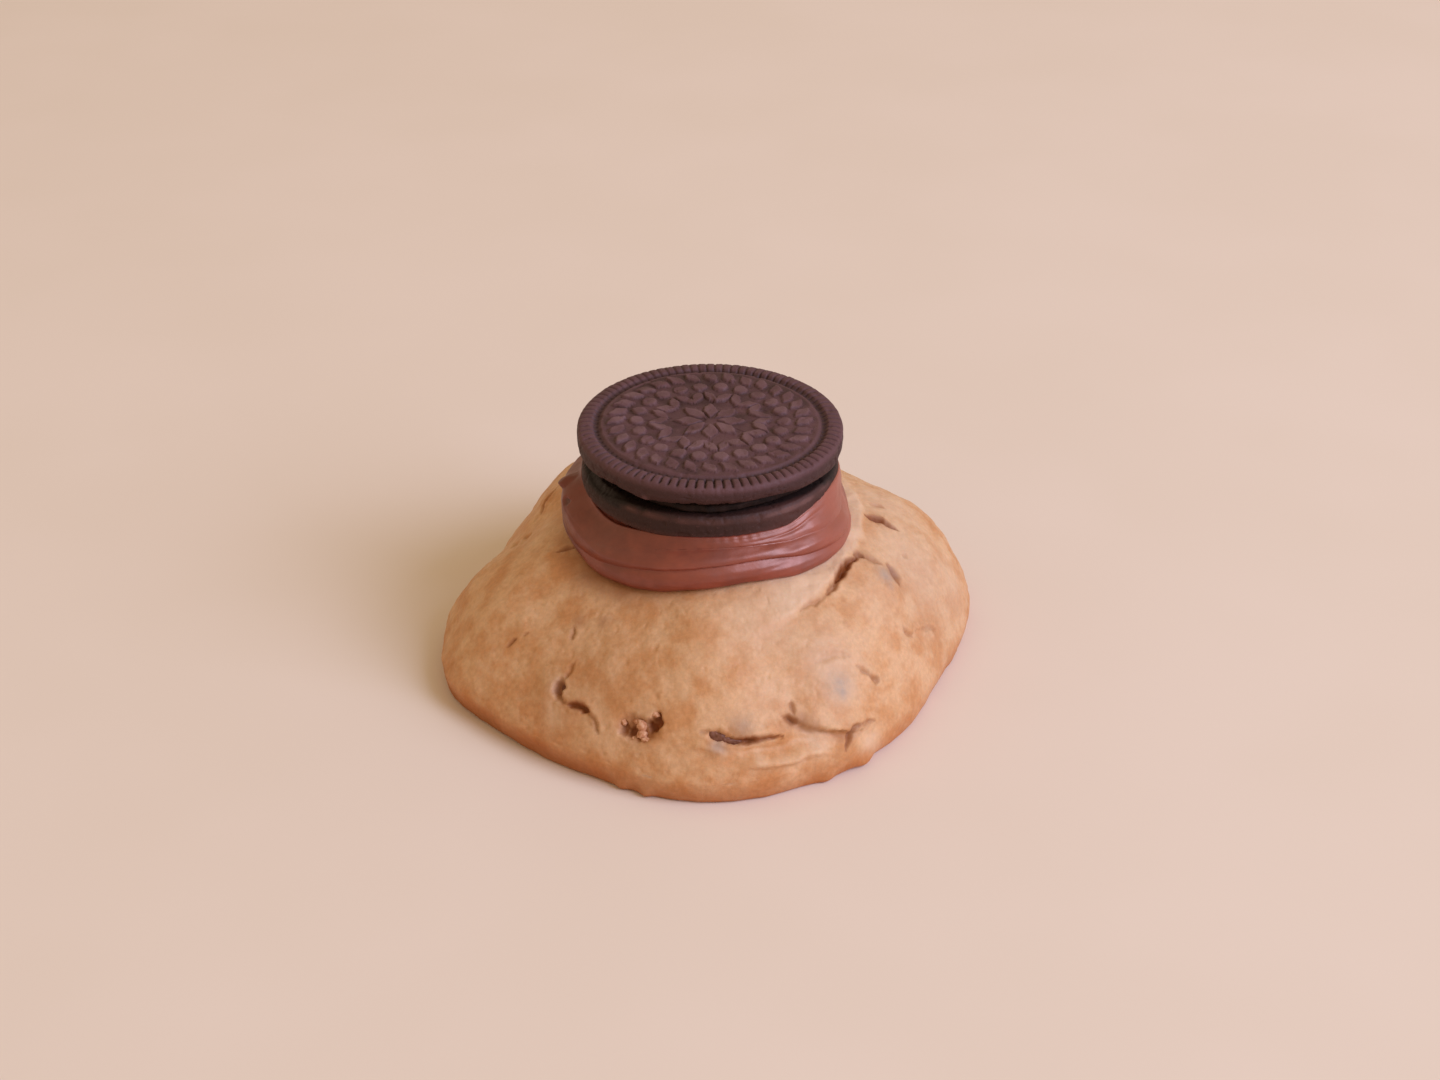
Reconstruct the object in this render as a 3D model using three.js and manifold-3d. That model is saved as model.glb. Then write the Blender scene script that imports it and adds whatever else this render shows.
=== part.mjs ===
// A chocolate chip cookie crowned with piped chocolate cream and a chocolate sandwich cookie.
// Millimetres, +Z up. The origin is on the table, under the axis of the sandwich cookie.

import * as THREE from 'three';
import { mergeVertices } from 'three/addons/utils/BufferGeometryUtils.js';
import Module from 'manifold-3d';

// ---------------------------------------------------------------------------------------------
// Driving dimensions
// ---------------------------------------------------------------------------------------------

// Base cookie: an uneven dome with a rounded rim.
const DOME_HEIGHT = 29.1;
const DOME_TURNS = 84; // facets round the dome and the cream
const RIM_HEIGHT = 4.5; // where the cookie is widest
const RIM_TUCK = 2.0; // how far the rim rolls in under itself at the table
const DOME_LEAN = -0.12; // rise of the dome for each millimetre towards -X
const DOME_ROUNDING = 1.15; // how sharply the shoulder turns down at the rim
// Half widths of the cookie by angle: [degrees from +X, millimetres].
const OUTLINE = [
  [-161, 48.5], [-140, 46.2], [-115, 46.1], [-90, 49.0], [-65, 46.5], [-40, 43.9], [-20, 42.5],
  [0, 45.4], [20, 48.3], [50, 47.0], [90, 45.7], [130, 45.0], [165, 42.4],
];

// Sandwich cookie: two like wafers, the lower one face down, and the filling between them.
const WAFER_RADIUS = 22.5;
const LOWER_RADIUS = 21.9; // the lower wafer is a little narrower
const WAFER_THICKNESS = 4.6; // without the embossing
const WAFER_TAPER = 0.6; // how much narrower the plain side is than the widest edge
const RIDGES = 90; // on the flat border of the face
const SLOT_DEPTH = 0.5; // of the slots between the ridges
const RIDGE_START = 20.1; // inner radius of the ridged border
const SHOULDER_DROP = 0.9; // from the face down to the widest edge
const GROOVE_RADIUS = 19.3;
const GROOVE_DEPTH = 0.6;
const FIELD_RADIUS = 18.5; // the embossed field
const FIELD_TURNS = 60; // facets round the field, the plain edge and the filling
const EMBOSS_HEIGHT = 0.5;
const WAFER_SEAT = 33.25; // height of the lower wafer's face
const UPPER_SEAT = 39.5; // height of the upper wafer's plain side
const UPPER_TILT = 0.2; // degrees, the upper wafer stands a little higher at -X
const FILLING_RADIUS = 20.3;

// Piped cream between the base cookie and the lower wafer.
const CREAM_RADIUS = 24.8;
const CREAM_SHIFT = -0.9; // centre of the cream's outline along X
const CREAM_SEAT_INSET = 0.9; // how far the cream's edge curls in to the dough
const CREAM_SHOULDER = 0.55; // share of its height above which the cream narrows to the wafer
const RIGHT_SHOULDER = 0.05; // the same at +X, where the cream slopes in all the way up
const ROPE_BULGE = 0.55;
// Top of the cream by angle: low in front and squeezed up the wafer's edge at the sides.
const CREAM_LIP = [
  [-178, 35.0], [-166, 34.1], [-150, 33.2], [-139, 33.3], [-127, 33.8], [-116, 34.3], [-98, 34.9],
  [-70, 35.0], [-56, 34.8], [-50, 35.0], [-44, 35.6], [-36, 36.2], [-24, 36.8], [-8, 36.8], [8, 36.3],
  [26, 34.8], [50, 34.3], [90, 34.5], [130, 34.1], [160, 34.0],
];

const CLEARANCE = 0.3; // gap between touching solids

// ---------------------------------------------------------------------------------------------
// Helpers
// ---------------------------------------------------------------------------------------------

const wasm = await Module();
wasm.setup();

const radians = THREE.MathUtils.degToRad;
const clamp = THREE.MathUtils.clamp;
const lerp = THREE.MathUtils.lerp;

// Signed difference of two angles in degrees, -180 to 180.
function turnBetween(a, b) {
  return ((((a - b) % 360) + 540) % 360) - 180;
}

// A smooth bump of height 1 over an angle, with the given half width in degrees.
function angleBump(angle, centre, halfWidth) {
  return Math.exp(-((turnBetween(angle, centre) / halfWidth) ** 2));
}

// Smooth closed curve through [angle, value] knots in rising order of angle.
function aroundKnots(knots, angle) {
  const count = knots.length;
  const knot = (i) => {
    const wraps = Math.floor(i / count);
    const [degrees, value] = knots[i - wraps * count];
    return [degrees + 360 * wraps, value];
  };
  let at = angle;
  while (at < knots[0][0]) at += 360;
  while (at >= knots[0][0] + 360) at -= 360;
  let i = 0;
  while (knot(i + 1)[0] <= at) i += 1;
  const [[a0, v0], [a1, v1], [a2, v2], [a3, v3]] = [-1, 0, 1, 2].map((step) => knot(i + step));
  const span = a2 - a1;
  const t = (at - a1) / span;
  const slope1 = ((v2 - v0) / (a2 - a0)) * span;
  const slope2 = ((v3 - v1) / (a3 - a1)) * span;
  return (2 * t ** 3 - 3 * t ** 2 + 1) * v1 + (t ** 3 - 2 * t ** 2 + t) * slope1
    + (3 * t ** 2 - 2 * t ** 3) * v2 + (t ** 3 - t ** 2) * slope2;
}

function polar(radius, degrees, z) {
  return new THREE.Vector3(
    radius * Math.cos(radians(degrees)), radius * Math.sin(radians(degrees)), z);
}

// A ring of points round +Z; place(degrees, index) gives each point.
function ring(count, place) {
  return Array.from({ length: count }, (_, i) => place((360 * i) / count, i));
}

// Closed skin over rings stacked from the bottom up. A ring of one point is a pole, and
// neighbouring rings may have different numbers of points.
function skin(rings) {
  const starts = [];
  const points = [];
  for (const loop of rings) {
    starts.push(points.length);
    points.push(...loop);
  }
  const triangles = [];
  for (let k = 0; k + 1 < rings.length; k += 1) {
    const [below, above] = [rings[k].length, rings[k + 1].length];
    const lower = (i) => starts[k] + (i % below);
    const upper = (j) => starts[k + 1] + (j % above);
    let i = 0;
    let j = 0;
    while (i < below || j < above) {
      const lowerNext = (i + 0.5) / below < (j + 0.5) / above;
      if (lowerNext) {
        if (below > 1) triangles.push(lower(i), lower(i + 1), upper(j));
        i += 1;
      } else {
        if (above > 1) triangles.push(lower(i), upper(j + 1), upper(j));
        j += 1;
      }
    }
  }
  const geometry = new THREE.BufferGeometry();
  geometry.setAttribute('position', new THREE.Float32BufferAttribute(
    points.flatMap((p) => p.toArray()), 3));
  geometry.setIndex(triangles);
  return geometry;
}

// three.js geometry to a solid that can be joined and cut, and back.
function solid(geometry) {
  const bare = geometry.clone();
  bare.deleteAttribute('normal');
  bare.deleteAttribute('uv');
  const welded = mergeVertices(bare, 1e-4);
  const corners = Array.from(welded.index.array);
  const kept = [];
  for (let i = 0; i < corners.length; i += 3) {
    const [a, b, c] = corners.slice(i, i + 3);
    if (a !== b && b !== c && c !== a) kept.push(a, b, c);
  }
  return new wasm.Manifold(new wasm.Mesh({
    numProp: 3,
    vertProperties: new Float32Array(welded.attributes.position.array),
    triVerts: new Uint32Array(kept),
  }));
}

function geometryOf(body) {
  const mesh = body.getMesh();
  const geometry = new THREE.BufferGeometry();
  geometry.setAttribute('position', new THREE.Float32BufferAttribute(mesh.vertProperties, 3));
  geometry.setIndex(Array.from(mesh.triVerts));
  return geometry;
}

// ---------------------------------------------------------------------------------------------
// Base cookie
// ---------------------------------------------------------------------------------------------

// Soft lumps and dips of the crust: [x, y, width, height], on the dome above that spot.
const LUMPS = [
  [20.4, -36.0, 6.0, 1.2], // chip buried under the crust at the front right
  [29.0, -14.5, 5.0, 0.9], // chip buried high on the right
  [25.5, -6.0, 4.0, 0.5], // fold beside it
  [-26.3, -31.6, 2.6, 0.5], // flake beside the left hole
  [-15.0, -34.0, 6.5, 0.5],
  [2.0, -37.0, 7.0, 0.4],
  [10.0, -35.5, 4.5, -0.5],
  [-33.0, 5.0, 4.0, -0.5],
  [-36.0, -12.0, 7.0, 0.4],
  [-42.5, 1.5, 7.0, 1.8], // full flank on the left
  [36.0, 2.0, 6.0, 0.4],
  [34.0, 18.0, 6.0, -0.4],
  [16.0, 34.0, 7.0, 0.7],
  [-8.0, 38.0, 6.0, 0.6],
  [-27.0, 27.0, 7.0, 0.5],
  [4.0, 30.0, 5.0, -0.4],
];

// The ledge under the lifted crust in front, as the span of angles and the two heights.
const LEDGE = { centre: -79, halfWidth: 15, undercut: 9.0, foot: 6.6, reach: 0.9 };

function outlineAt(degrees) {
  return aroundKnots(OUTLINE, degrees);
}

// How full the flank is: near 1 it slopes like a cone, near 4 it has a full shoulder.
function flankFullness(degrees) {
  const a = radians(degrees);
  return 3.11 + 1.26 * Math.cos(a) - 0.14 * Math.sin(a) + 0.13 * Math.cos(2 * a)
    - 0.43 * Math.sin(2 * a) + 1.53 * angleBump(degrees, 125, 34);
}

function domeHeight(degrees, radius) {
  const rho = clamp(radius / outlineAt(degrees), 0, 1);
  const profile = (1 - rho ** flankFullness(degrees)) ** (1 / DOME_ROUNDING);
  const lean = DOME_LEAN * radius * Math.cos(radians(degrees)) * (1 - rho ** 2);
  return RIM_HEIGHT + (DOME_HEIGHT - RIM_HEIGHT) * profile + lean;
}

// Outward direction of the dome's surface.
function domeNormal(degrees, radius) {
  const step = 0.2;
  const inside = Math.min(radius, outlineAt(degrees) - step);
  const slope = (domeHeight(degrees, inside + step) - domeHeight(degrees, inside - step))
    / (2 * step);
  return polar(-slope, degrees, 1).normalize();
}

// Point of the crust, with its lumps and the ledge in front.
function crustPoint(degrees, radius) {
  const point = polar(radius, degrees, domeHeight(degrees, radius));
  let swell = 0;
  for (const [x, y, width, height] of LUMPS) {
    swell += height * Math.exp(-((point.x - x) ** 2 + (point.y - y) ** 2) / width ** 2);
  }
  point.addScaledVector(domeNormal(degrees, radius), swell);
  const ledge = angleBump(degrees, LEDGE.centre, LEDGE.halfWidth);
  const undercut = Math.exp(-(((point.z - LEDGE.undercut) / 1.2) ** 2));
  const foot = Math.exp(-(((point.z - LEDGE.foot) / 1.3) ** 2));
  return point.add(polar(LEDGE.reach * ledge * (0.5 * foot - undercut), degrees, 0));
}

function creamOutline(degrees) {
  return CREAM_RADIUS + CREAM_SHIFT * Math.cos(radians(degrees));
}

function creamSeat(degrees) {
  return creamOutline(degrees) - CREAM_SEAT_INSET;
}

const SEAT_RADII = [8, 16]; // rings that the dome and the cream's underside share

function domeBody() {
  const flankRings = 14;
  const rings = [[new THREE.Vector3(0, 0, 0)]];
  for (const turn of [0, 30, 60]) {
    const tuck = RIM_TUCK * (1 - Math.sin(radians(turn)));
    const rise = RIM_HEIGHT * (1 - Math.cos(radians(turn)));
    rings.push(ring(DOME_TURNS, (a) => polar(outlineAt(a) - tuck, a, rise)));
  }
  for (let i = 0; i <= flankRings; i += 1) {
    const inward = (i / flankRings) ** 1.5;
    rings.push(ring(DOME_TURNS, (a) => crustPoint(a, lerp(outlineAt(a), creamSeat(a), inward))));
  }
  for (const radius of SEAT_RADII.toReversed()) {
    rings.push(ring(DOME_TURNS, (a) => polar(radius, a, domeHeight(a, radius))));
  }
  rings.push([new THREE.Vector3(0, 0, domeHeight(0, 0))]);
  return solid(skin(rings));
}

// A crack is a wedge that follows a path over the crust, pointed at both ends.
// Its path is a list of [degrees, radius].
const CRACKS = [
  { width: 1.5, depth: 2.2, path: [[-25, 27.0], [-35, 27.3], [-43, 28.5], [-54, 30.3]] },
  { width: 1.2, depth: 1.6, path: [[3.5, 27.0], [2.3, 29.1], [1.0, 32.2]] },
  { width: 1.0, depth: 1.4, path: [[-18, 31.0], [-19.5, 32.6], [-22, 34.4]] },
  { width: 1.3, depth: 1.8, path: [[-93, 44.8], [-87, 45.4], [-81, 45.8], [-75, 45.2]] },
  { width: 1.5, depth: 1.6, path: [[-75, 43.6], [-70, 44.0], [-66, 44.6], [-60.5, 44.8]] },
  { width: 1.1, depth: 1.3, path: [[-56, 37.9], [-52.5, 38.8], [-50.5, 40.2], [-47.5, 41.5]] },
  { width: 1.2, depth: 1.4, path: [[-62, 46.0], [-60, 45.0], [-57, 44.5], [-52.5, 44.2]] },
  { width: 1.1, depth: 1.5, path: [[-125.5, 36.6], [-127, 38.6], [-126, 41.2]] },
  { width: 1.2, depth: 1.6, path: [[-127, 41.9], [-122, 42.2], [-117.5, 42.2], [-114, 44.4]] },
  { width: 0.8, depth: 0.9, path: [[-147.5, 41.0], [-146, 39.0], [-145, 37.4]] },
  { width: 0.8, depth: 0.9, path: [[-130.7, 35.4], [-132, 33.4], [-135, 32.2]] },
  { width: 1.1, depth: 1.3, path: [[70, 38.0], [78, 39.5], [86, 39.0]] },
  { width: 1.0, depth: 1.2, path: [[128, 35.0], [133, 37.5], [141, 38.5]] },
];

function crackBody({ width, depth, path }) {
  const stations = path.length + 2;
  const route = new THREE.CatmullRomCurve3(path.map(([a, r]) => crustPoint(a, r)));
  const rings = [];
  for (let i = 0; i <= stations; i += 1) {
    const t = i / stations;
    const spot = route.getPoint(t);
    const degrees = THREE.MathUtils.radToDeg(Math.atan2(spot.y, spot.x));
    const radius = Math.hypot(spot.x, spot.y);
    const out = domeNormal(degrees, radius);
    const across = route.getTangent(t).cross(out).normalize();
    const crust = crustPoint(degrees, radius);
    const opening = Math.sqrt(Math.sin(Math.PI * t));
    if (i === 0 || i === stations) {
      rings.push([crust.addScaledVector(out, 0.1)]);
      continue;
    }
    const lift = 0.5;
    const mouth = (side) => crust.clone().addScaledVector(out, lift)
      .addScaledVector(across, side * opening * width * (0.5 + lift / depth));
    rings.push([mouth(1), crust.clone().addScaledVector(out, -depth * opening), mouth(-1)]);
  }
  return solid(skin(rings));
}

// A rounded lump or pit on the crust: its size is across, up the slope and out of the crust.
function blobBody({ at: [degrees, radius], size, sink = 0, heading = 0, sides = 8 }) {
  const geometry = new THREE.SphereGeometry(1, sides, Math.round(sides * 0.6));
  geometry.scale(size[0] / 2, size[1] / 2, size[2] / 2);
  geometry.rotateZ(radians(heading));
  const out = domeNormal(degrees, radius);
  const across = polar(1, degrees + 90, 0);
  const upSlope = out.clone().cross(across);
  const centre = crustPoint(degrees, radius).addScaledVector(out, -sink);
  geometry.applyMatrix4(new THREE.Matrix4().makeBasis(across, upSlope, out).setPosition(centre));
  return solid(geometry);
}

// Holes where the crust has broken away over a chip, and what fills them.
const HOLES = [
  { at: [-126.9, 40.6], size: [1.9, 4.2, 4.0], heading: -15, sink: 0.4 },
  { at: [-107.6, 43.7], size: [3.6, 3.2, 3.6], sink: 0.5 },
  { at: [-102.8, 43.2], size: [3.4, 4.0, 4.0], sink: 0.6 },
  { at: [-87.0, 45.2], size: [5.2, 3.2, 2.6], sink: 0.2 },
];

const CHIPS = [
  { at: [-87.0, 45.2], size: [4.6, 2.4, 2.4], sink: 1.0 },
  { at: [-126.9, 40.6], size: [1.7, 3.2, 2.4], heading: -15, sink: 1.8 },
  { at: [-20.0, 32.7], size: [1.8, 3.2, 1.8], heading: 30, sink: 0.9 },
  { at: [-103.0, 43.4], size: [2.0, 2.2, 2.0], sink: 2.1 },
];

const CRUMBS = [
  { at: [-105.2, 43.6], size: [1.7, 2.4, 2.6], sink: 0.7, sides: 6 },
  { at: [-107.9, 43.2], size: [1.2, 1.2, 1.4], sink: 2.0, sides: 6 },
];

function baseCookie() {
  let body = domeBody();
  for (const crack of CRACKS) body = body.subtract(crackBody(crack));
  for (const hole of HOLES) body = body.subtract(blobBody(hole));
  for (const piece of [...CHIPS, ...CRUMBS]) body = body.add(blobBody(piece));
  return geometryOf(body);
}

// ---------------------------------------------------------------------------------------------
// Cream
// ---------------------------------------------------------------------------------------------

// The free space round the lower wafer: under its face, and round its shoulder at a height.
const FACE_BED = { radius: RIDGE_START + 0.5, z: WAFER_SEAT - CLEARANCE };
const SHOULDER_BED = { radius: LOWER_RADIUS - 0.6, z: WAFER_SEAT - 0.15 };
const EDGE_BED = { radius: LOWER_RADIUS + 0.4, z: WAFER_SEAT + 0.8 };

function shoulderBed(z) {
  const rise = (z - SHOULDER_BED.z) / (EDGE_BED.z - SHOULDER_BED.z);
  return lerp(SHOULDER_BED.radius, EDGE_BED.radius, clamp(rise, 0, 1));
}

// The piped ropes lie on each other from the dough up to the wafer. The two grooves between
// them are placed by [degrees, share of the cream's height].
const LOW_GROOVE = [
  [-150, 0.26], [-130, 0.4], [-102, 0.42], [-78, 0.47], [-57, 0.31], [-20, 0.22], [60, 0.36],
  [140, 0.28],
];
const HIGH_GROOVE = [
  [-150, 0.66], [-118, 0.76], [-90, 0.82], [-69, 0.77], [-43, 0.56], [10, 0.52], [80, 0.7],
  [150, 0.6],
];
const ROPE_STEPS = 3;

// Point of the cream's side on a rope (0 to 2), at a share of that rope's height.
function creamSide(degrees, rope, share) {
  const grooves = [0, aroundKnots(LOW_GROOVE, degrees), aroundKnots(HIGH_GROOVE, degrees), 1];
  const up = lerp(grooves[rope], grooves[rope + 1], share);
  const bottom = domeHeight(degrees, creamSeat(degrees)) + CLEARANCE;
  const top = aroundKnots(CREAM_LIP, degrees);
  const shoulder = lerp(CREAM_SHOULDER, RIGHT_SHOULDER, angleBump(degrees, 2, 24));
  const narrowing = THREE.MathUtils.smoothstep(up, shoulder, 1);
  const flare = lerp(creamOutline(degrees), shoulderBed(top) + 0.4, narrowing);
  const depth = ROPE_BULGE * (0.45 + 0.55 * angleBump(degrees, -85, 75));
  const bulge = depth * (Math.sqrt(4 * share * (1 - share)) - 0.4);
  const atSeat = up === 0 ? CREAM_SEAT_INSET : 0;
  return polar(flare + bulge - atSeat, degrees, lerp(bottom, top, up));
}

function chocolateCream() {
  const rings = [[new THREE.Vector3(0, 0, domeHeight(0, 0) + CLEARANCE)]];
  for (const radius of SEAT_RADII) {
    rings.push(ring(DOME_TURNS, (a) => polar(radius, a, domeHeight(a, radius) + CLEARANCE)));
  }
  for (const rope of [0, 1, 2]) {
    for (let i = 0; i < ROPE_STEPS; i += 1) {
      rings.push(ring(DOME_TURNS, (a) => creamSide(a, rope, i / ROPE_STEPS)));
    }
  }
  rings.push(ring(DOME_TURNS, (a) => creamSide(a, 2, 1)));
  rings.push(ring(DOME_TURNS, (a) => {
    const z = Math.min(EDGE_BED.z, lerp(SHOULDER_BED.z, aroundKnots(CREAM_LIP, a), 0.6));
    return polar(shoulderBed(z), a, z);
  }));
  rings.push(ring(DOME_TURNS, (a) => polar(SHOULDER_BED.radius, a, SHOULDER_BED.z)));
  rings.push(ring(DOME_TURNS, (a) => polar(FACE_BED.radius, a, FACE_BED.z)));
  rings.push([new THREE.Vector3(0, 0, FACE_BED.z)]);
  const tail = new THREE.SphereGeometry(1, 8, 6);
  tail.scale(1.7, 1.3, 1.2);
  tail.rotateY(radians(25));
  tail.translate(-CREAM_RADIUS + 0.3, 0.6, 31.2);
  return geometryOf(solid(skin(rings)).add(solid(tail)));
}

// ---------------------------------------------------------------------------------------------
// Sandwich cookie
// ---------------------------------------------------------------------------------------------

// A wafer with its plain side at z = 0 and its face up. Its plain edge is worn away up to a
// height that edgeWear gives by angle.
function waferBody(edgeWear) {
  const slot = (i, depth) => (i % 2 === 0 ? 0 : depth);
  const turns = 2 * RIDGES;
  const face = WAFER_THICKNESS;
  const plainRadius = WAFER_RADIUS - WAFER_TAPER;
  const rings = [
    [new THREE.Vector3(0, 0, 0)],
    ring(FIELD_TURNS, (a) => polar(FILLING_RADIUS, a, 0)),
    ring(FIELD_TURNS, (a) => polar(plainRadius, a, Math.max(edgeWear(a), 0))),
    ring(FIELD_TURNS, (a) => polar(WAFER_RADIUS - 0.1, a, Math.max(edgeWear(a), 0) + 0.5)),
    ring(FIELD_TURNS, (a) => polar(WAFER_RADIUS, a, face - SHOULDER_DROP)),
    ring(turns, (a, i) => polar(WAFER_RADIUS - 0.45, a, face - 0.35 - slot(i, 0.3 * SLOT_DEPTH))),
    ring(turns, (a, i) => polar(RIDGE_START + 0.3, a, face - slot(i, SLOT_DEPTH))),
    ring(FIELD_TURNS, (a) => polar(GROOVE_RADIUS, a, face - GROOVE_DEPTH)),
    ring(FIELD_TURNS, (a) => polar(FIELD_RADIUS, a, face - 0.1)),
    [new THREE.Vector3(0, 0, face - 0.1)],
  ];
  return solid(skin(rings));
}

// Raised pad from a flat outline, set at a radius and an angle, pointing along its heading.
function padBody(outline, radius, degrees, heading = 0) {
  const shape = new THREE.Shape(outline.map(([x, y]) => new THREE.Vector2(x, y)));
  const geometry = new THREE.ExtrudeGeometry(shape, {
    depth: EMBOSS_HEIGHT + 0.6, bevelEnabled: false,
  });
  geometry.rotateZ(radians(heading));
  geometry.translate(radius, 0, WAFER_THICKNESS - 0.7);
  geometry.rotateZ(radians(degrees));
  return solid(geometry);
}

function leafOutline(length, width) {
  return [[-length / 2, 0], [0, -width / 2], [length / 2, 0], [0, width / 2]];
}

function dotOutline(radius) {
  return Array.from({ length: 6 }, (_, i) => [
    radius * Math.cos(radians(60 * i)), radius * Math.sin(radians(60 * i))]);
}

// Embossing: a daisy, a zigzag wreath, a ring of dots and a border of slanted leaves.
function embossing() {
  const pads = [];
  for (let i = 0; i < 8; i += 1) {
    pads.push(padBody(leafOutline(4.4, 2.1), 3.6, 45 * i));
  }
  for (let i = 0; i < 24; i += 1) {
    pads.push(padBody(leafOutline(3.9, 1.4), 8.7, 15 * i, i % 2 === 0 ? 32 : -32));
  }
  for (let i = 0; i < 22; i += 1) {
    pads.push(padBody(dotOutline(1.05), 12.3, 360 / 22 * i));
  }
  for (let i = 0; i < 32; i += 1) {
    pads.push(padBody(leafOutline(3.6, 1.8), 15.9, 11.25 * i, 38));
  }
  return pads.reduce((all, pad) => all.add(pad));
}

// How far the plain edges are worn and chipped away, by [degrees, height].
const UPPER_EDGE_WEAR = [
  [-170, 0], [-157, 0.1], [-148, 0.5], [-140, 1.0], [-128, 0.9], [-118, 0.6], [-108, 1.0], [-98, 1.3],
  [-84, 1.35], [-60, 1.35], [-48, 0.9], [-36, 0.6], [-22, 0], [20, 0], [60, 0.1], [118, 0.3], [150, 0],
];
const LOWER_EDGE_WEAR = [
  [-176, 0.3], [-164, 0.9], [-154, 1.3], [-145, 1.0], [-137, 0.4], [-128, 0], [-60, 0], [-30, 0],
  [-14, 0.3], [10, 0], [50, 0], [84, 0.35], [120, 0], [160, 0],
];

function upperWafer() {
  return geometryOf(waferBody((a) => aroundKnots(UPPER_EDGE_WEAR, a)).add(embossing()));
}

// The lower wafer is turned over about +X, so its angles count the other way.
function lowerWafer() {
  const geometry = geometryOf(waferBody((a) => aroundKnots(LOWER_EDGE_WEAR, -a)));
  return geometry.scale(LOWER_RADIUS / WAFER_RADIUS, LOWER_RADIUS / WAFER_RADIUS, 1);
}

// The filling fits the wedge-shaped gap between the wafers.
function filling() {
  const bottom = WAFER_SEAT + WAFER_THICKNESS + CLEARANCE;
  const top = (x) => UPPER_SEAT - CLEARANCE - x * Math.tan(radians(UPPER_TILT));
  const wobble = (a) => 0.35 * Math.sin(radians(3 * a + 40)) + 0.2 * Math.sin(radians(7 * a));
  const edge = (a, inset, z) => {
    const point = polar(FILLING_RADIUS - 0.4 + wobble(a) - inset, a, 0);
    point.z = z(point.x);
    return point;
  };
  return geometryOf(solid(skin([
    [new THREE.Vector3(0, 0, bottom)],
    ring(FIELD_TURNS, (a) => edge(a, 0.3, () => bottom)),
    ring(FIELD_TURNS, (a) => edge(a, 0, (x) => (bottom + top(x)) / 2)),
    ring(FIELD_TURNS, (a) => edge(a, 0.3, top)),
    [new THREE.Vector3(0, 0, top(0))],
  ])));
}

// ---------------------------------------------------------------------------------------------
// Assembly
// ---------------------------------------------------------------------------------------------

function material(colour, roughness) {
  return new THREE.MeshStandardMaterial({ color: colour, roughness, metalness: 0 });
}

const DOUGH = material(0xd2a679, 0.75);
const CREAM = material(0x8a4b40, 0.3);
const COCOA = material(0x4f3a3a, 0.7);
const COCOA_CREAM = material(0x1f1412, 0.6);

function named(name, geometry, look) {
  const mesh = new THREE.Mesh(geometry, look);
  mesh.name = name;
  return mesh;
}

const cookie = new THREE.Group();
cookie.name = 'chocolate_chip_cookie_with_sandwich_cookie';
cookie.add(named('base_cookie', baseCookie(), DOUGH));
cookie.add(named('chocolate_cream', chocolateCream(), CREAM));
cookie.add(named('filling', filling(), COCOA_CREAM));

const lower = named('wafer_lower', lowerWafer(), COCOA);
lower.rotation.x = Math.PI;
lower.position.z = WAFER_SEAT + WAFER_THICKNESS;
cookie.add(lower);

const upper = named('wafer_upper', upperWafer(), COCOA);
upper.rotation.y = radians(UPPER_TILT);
upper.position.z = UPPER_SEAT;
cookie.add(upper);

export default cookie;
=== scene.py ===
# Looks of a chocolate chip cookie topped with piped chocolate cream and a chocolate sandwich cookie.
# Sizes are in millimetres, like those of the solids, and become metres where a mesh is made.
# +Z is up, and the origin is on the table under the axis of the sandwich cookie.
import math

import bpy
import numpy as np
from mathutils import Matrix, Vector, noise


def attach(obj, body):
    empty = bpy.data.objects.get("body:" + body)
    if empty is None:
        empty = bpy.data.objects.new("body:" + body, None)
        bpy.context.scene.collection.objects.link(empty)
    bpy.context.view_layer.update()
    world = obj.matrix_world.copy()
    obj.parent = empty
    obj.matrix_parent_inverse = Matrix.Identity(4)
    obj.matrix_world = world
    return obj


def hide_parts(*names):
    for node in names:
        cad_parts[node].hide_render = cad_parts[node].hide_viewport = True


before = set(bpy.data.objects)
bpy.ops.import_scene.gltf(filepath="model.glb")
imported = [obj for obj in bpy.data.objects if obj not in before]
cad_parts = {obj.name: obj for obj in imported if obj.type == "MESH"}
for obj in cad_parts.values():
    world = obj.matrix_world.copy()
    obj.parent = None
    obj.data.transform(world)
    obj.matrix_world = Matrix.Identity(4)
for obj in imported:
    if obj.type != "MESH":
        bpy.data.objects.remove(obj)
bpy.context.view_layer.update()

MM = 0.001

# ---- Driving dimensions: the solids' own, but for up to 1.5 mm at the cream's lip and foot

DOME_HEIGHT = 29.1
RIM_HEIGHT = 4.5  # where the base cookie is widest
RIM_TUCK = 2  # how far the rim rolls in under itself at the table
DOME_LEAN = -0.12
DOME_ROUNDING = 1.15
# Half widths of the base cookie by angle: [degrees from +X, millimetres].
OUTLINE = [
    [-161, 48.5], [-140, 46.2], [-115, 46.1], [-90, 49], [-65, 46.5], [-40, 43.9], [-20, 42.5],
    [0, 45.4], [20, 48.3], [50, 47], [90, 45.7], [130, 45], [165, 42.4],
]

WAFER_RADIUS = 22.5
LOWER_RADIUS = 21.9  # the lower wafer is a little narrower
WAFER_THICKNESS = 4.6
RIDGES = 90
RIDGE_START = 20.1
FIELD_RADIUS = 18.4
EMBOSS_HEIGHT = 0.5
WAFER_SEAT = 33.25
UPPER_SEAT = 39.5
UPPER_TILT = 0.2  # degrees about +Y
FILLING_RADIUS = 19.9
FILLING_GAP = 0.1  # between the filling and each wafer

CREAM_RADIUS = 24.8
CREAM_SHIFT = -0.9
CREAM_SEAT_INSET = 0.9
CREAM_SHOULDER = 0.55  # share of its height above which the cream narrows to the wafer
RIGHT_SHOULDER = 0.05  # the same at +X, where the cream slopes in from its foot
RIGHT_NARROWING = 0.62  # share of its height where it is as narrow as the wafer at +X
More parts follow.
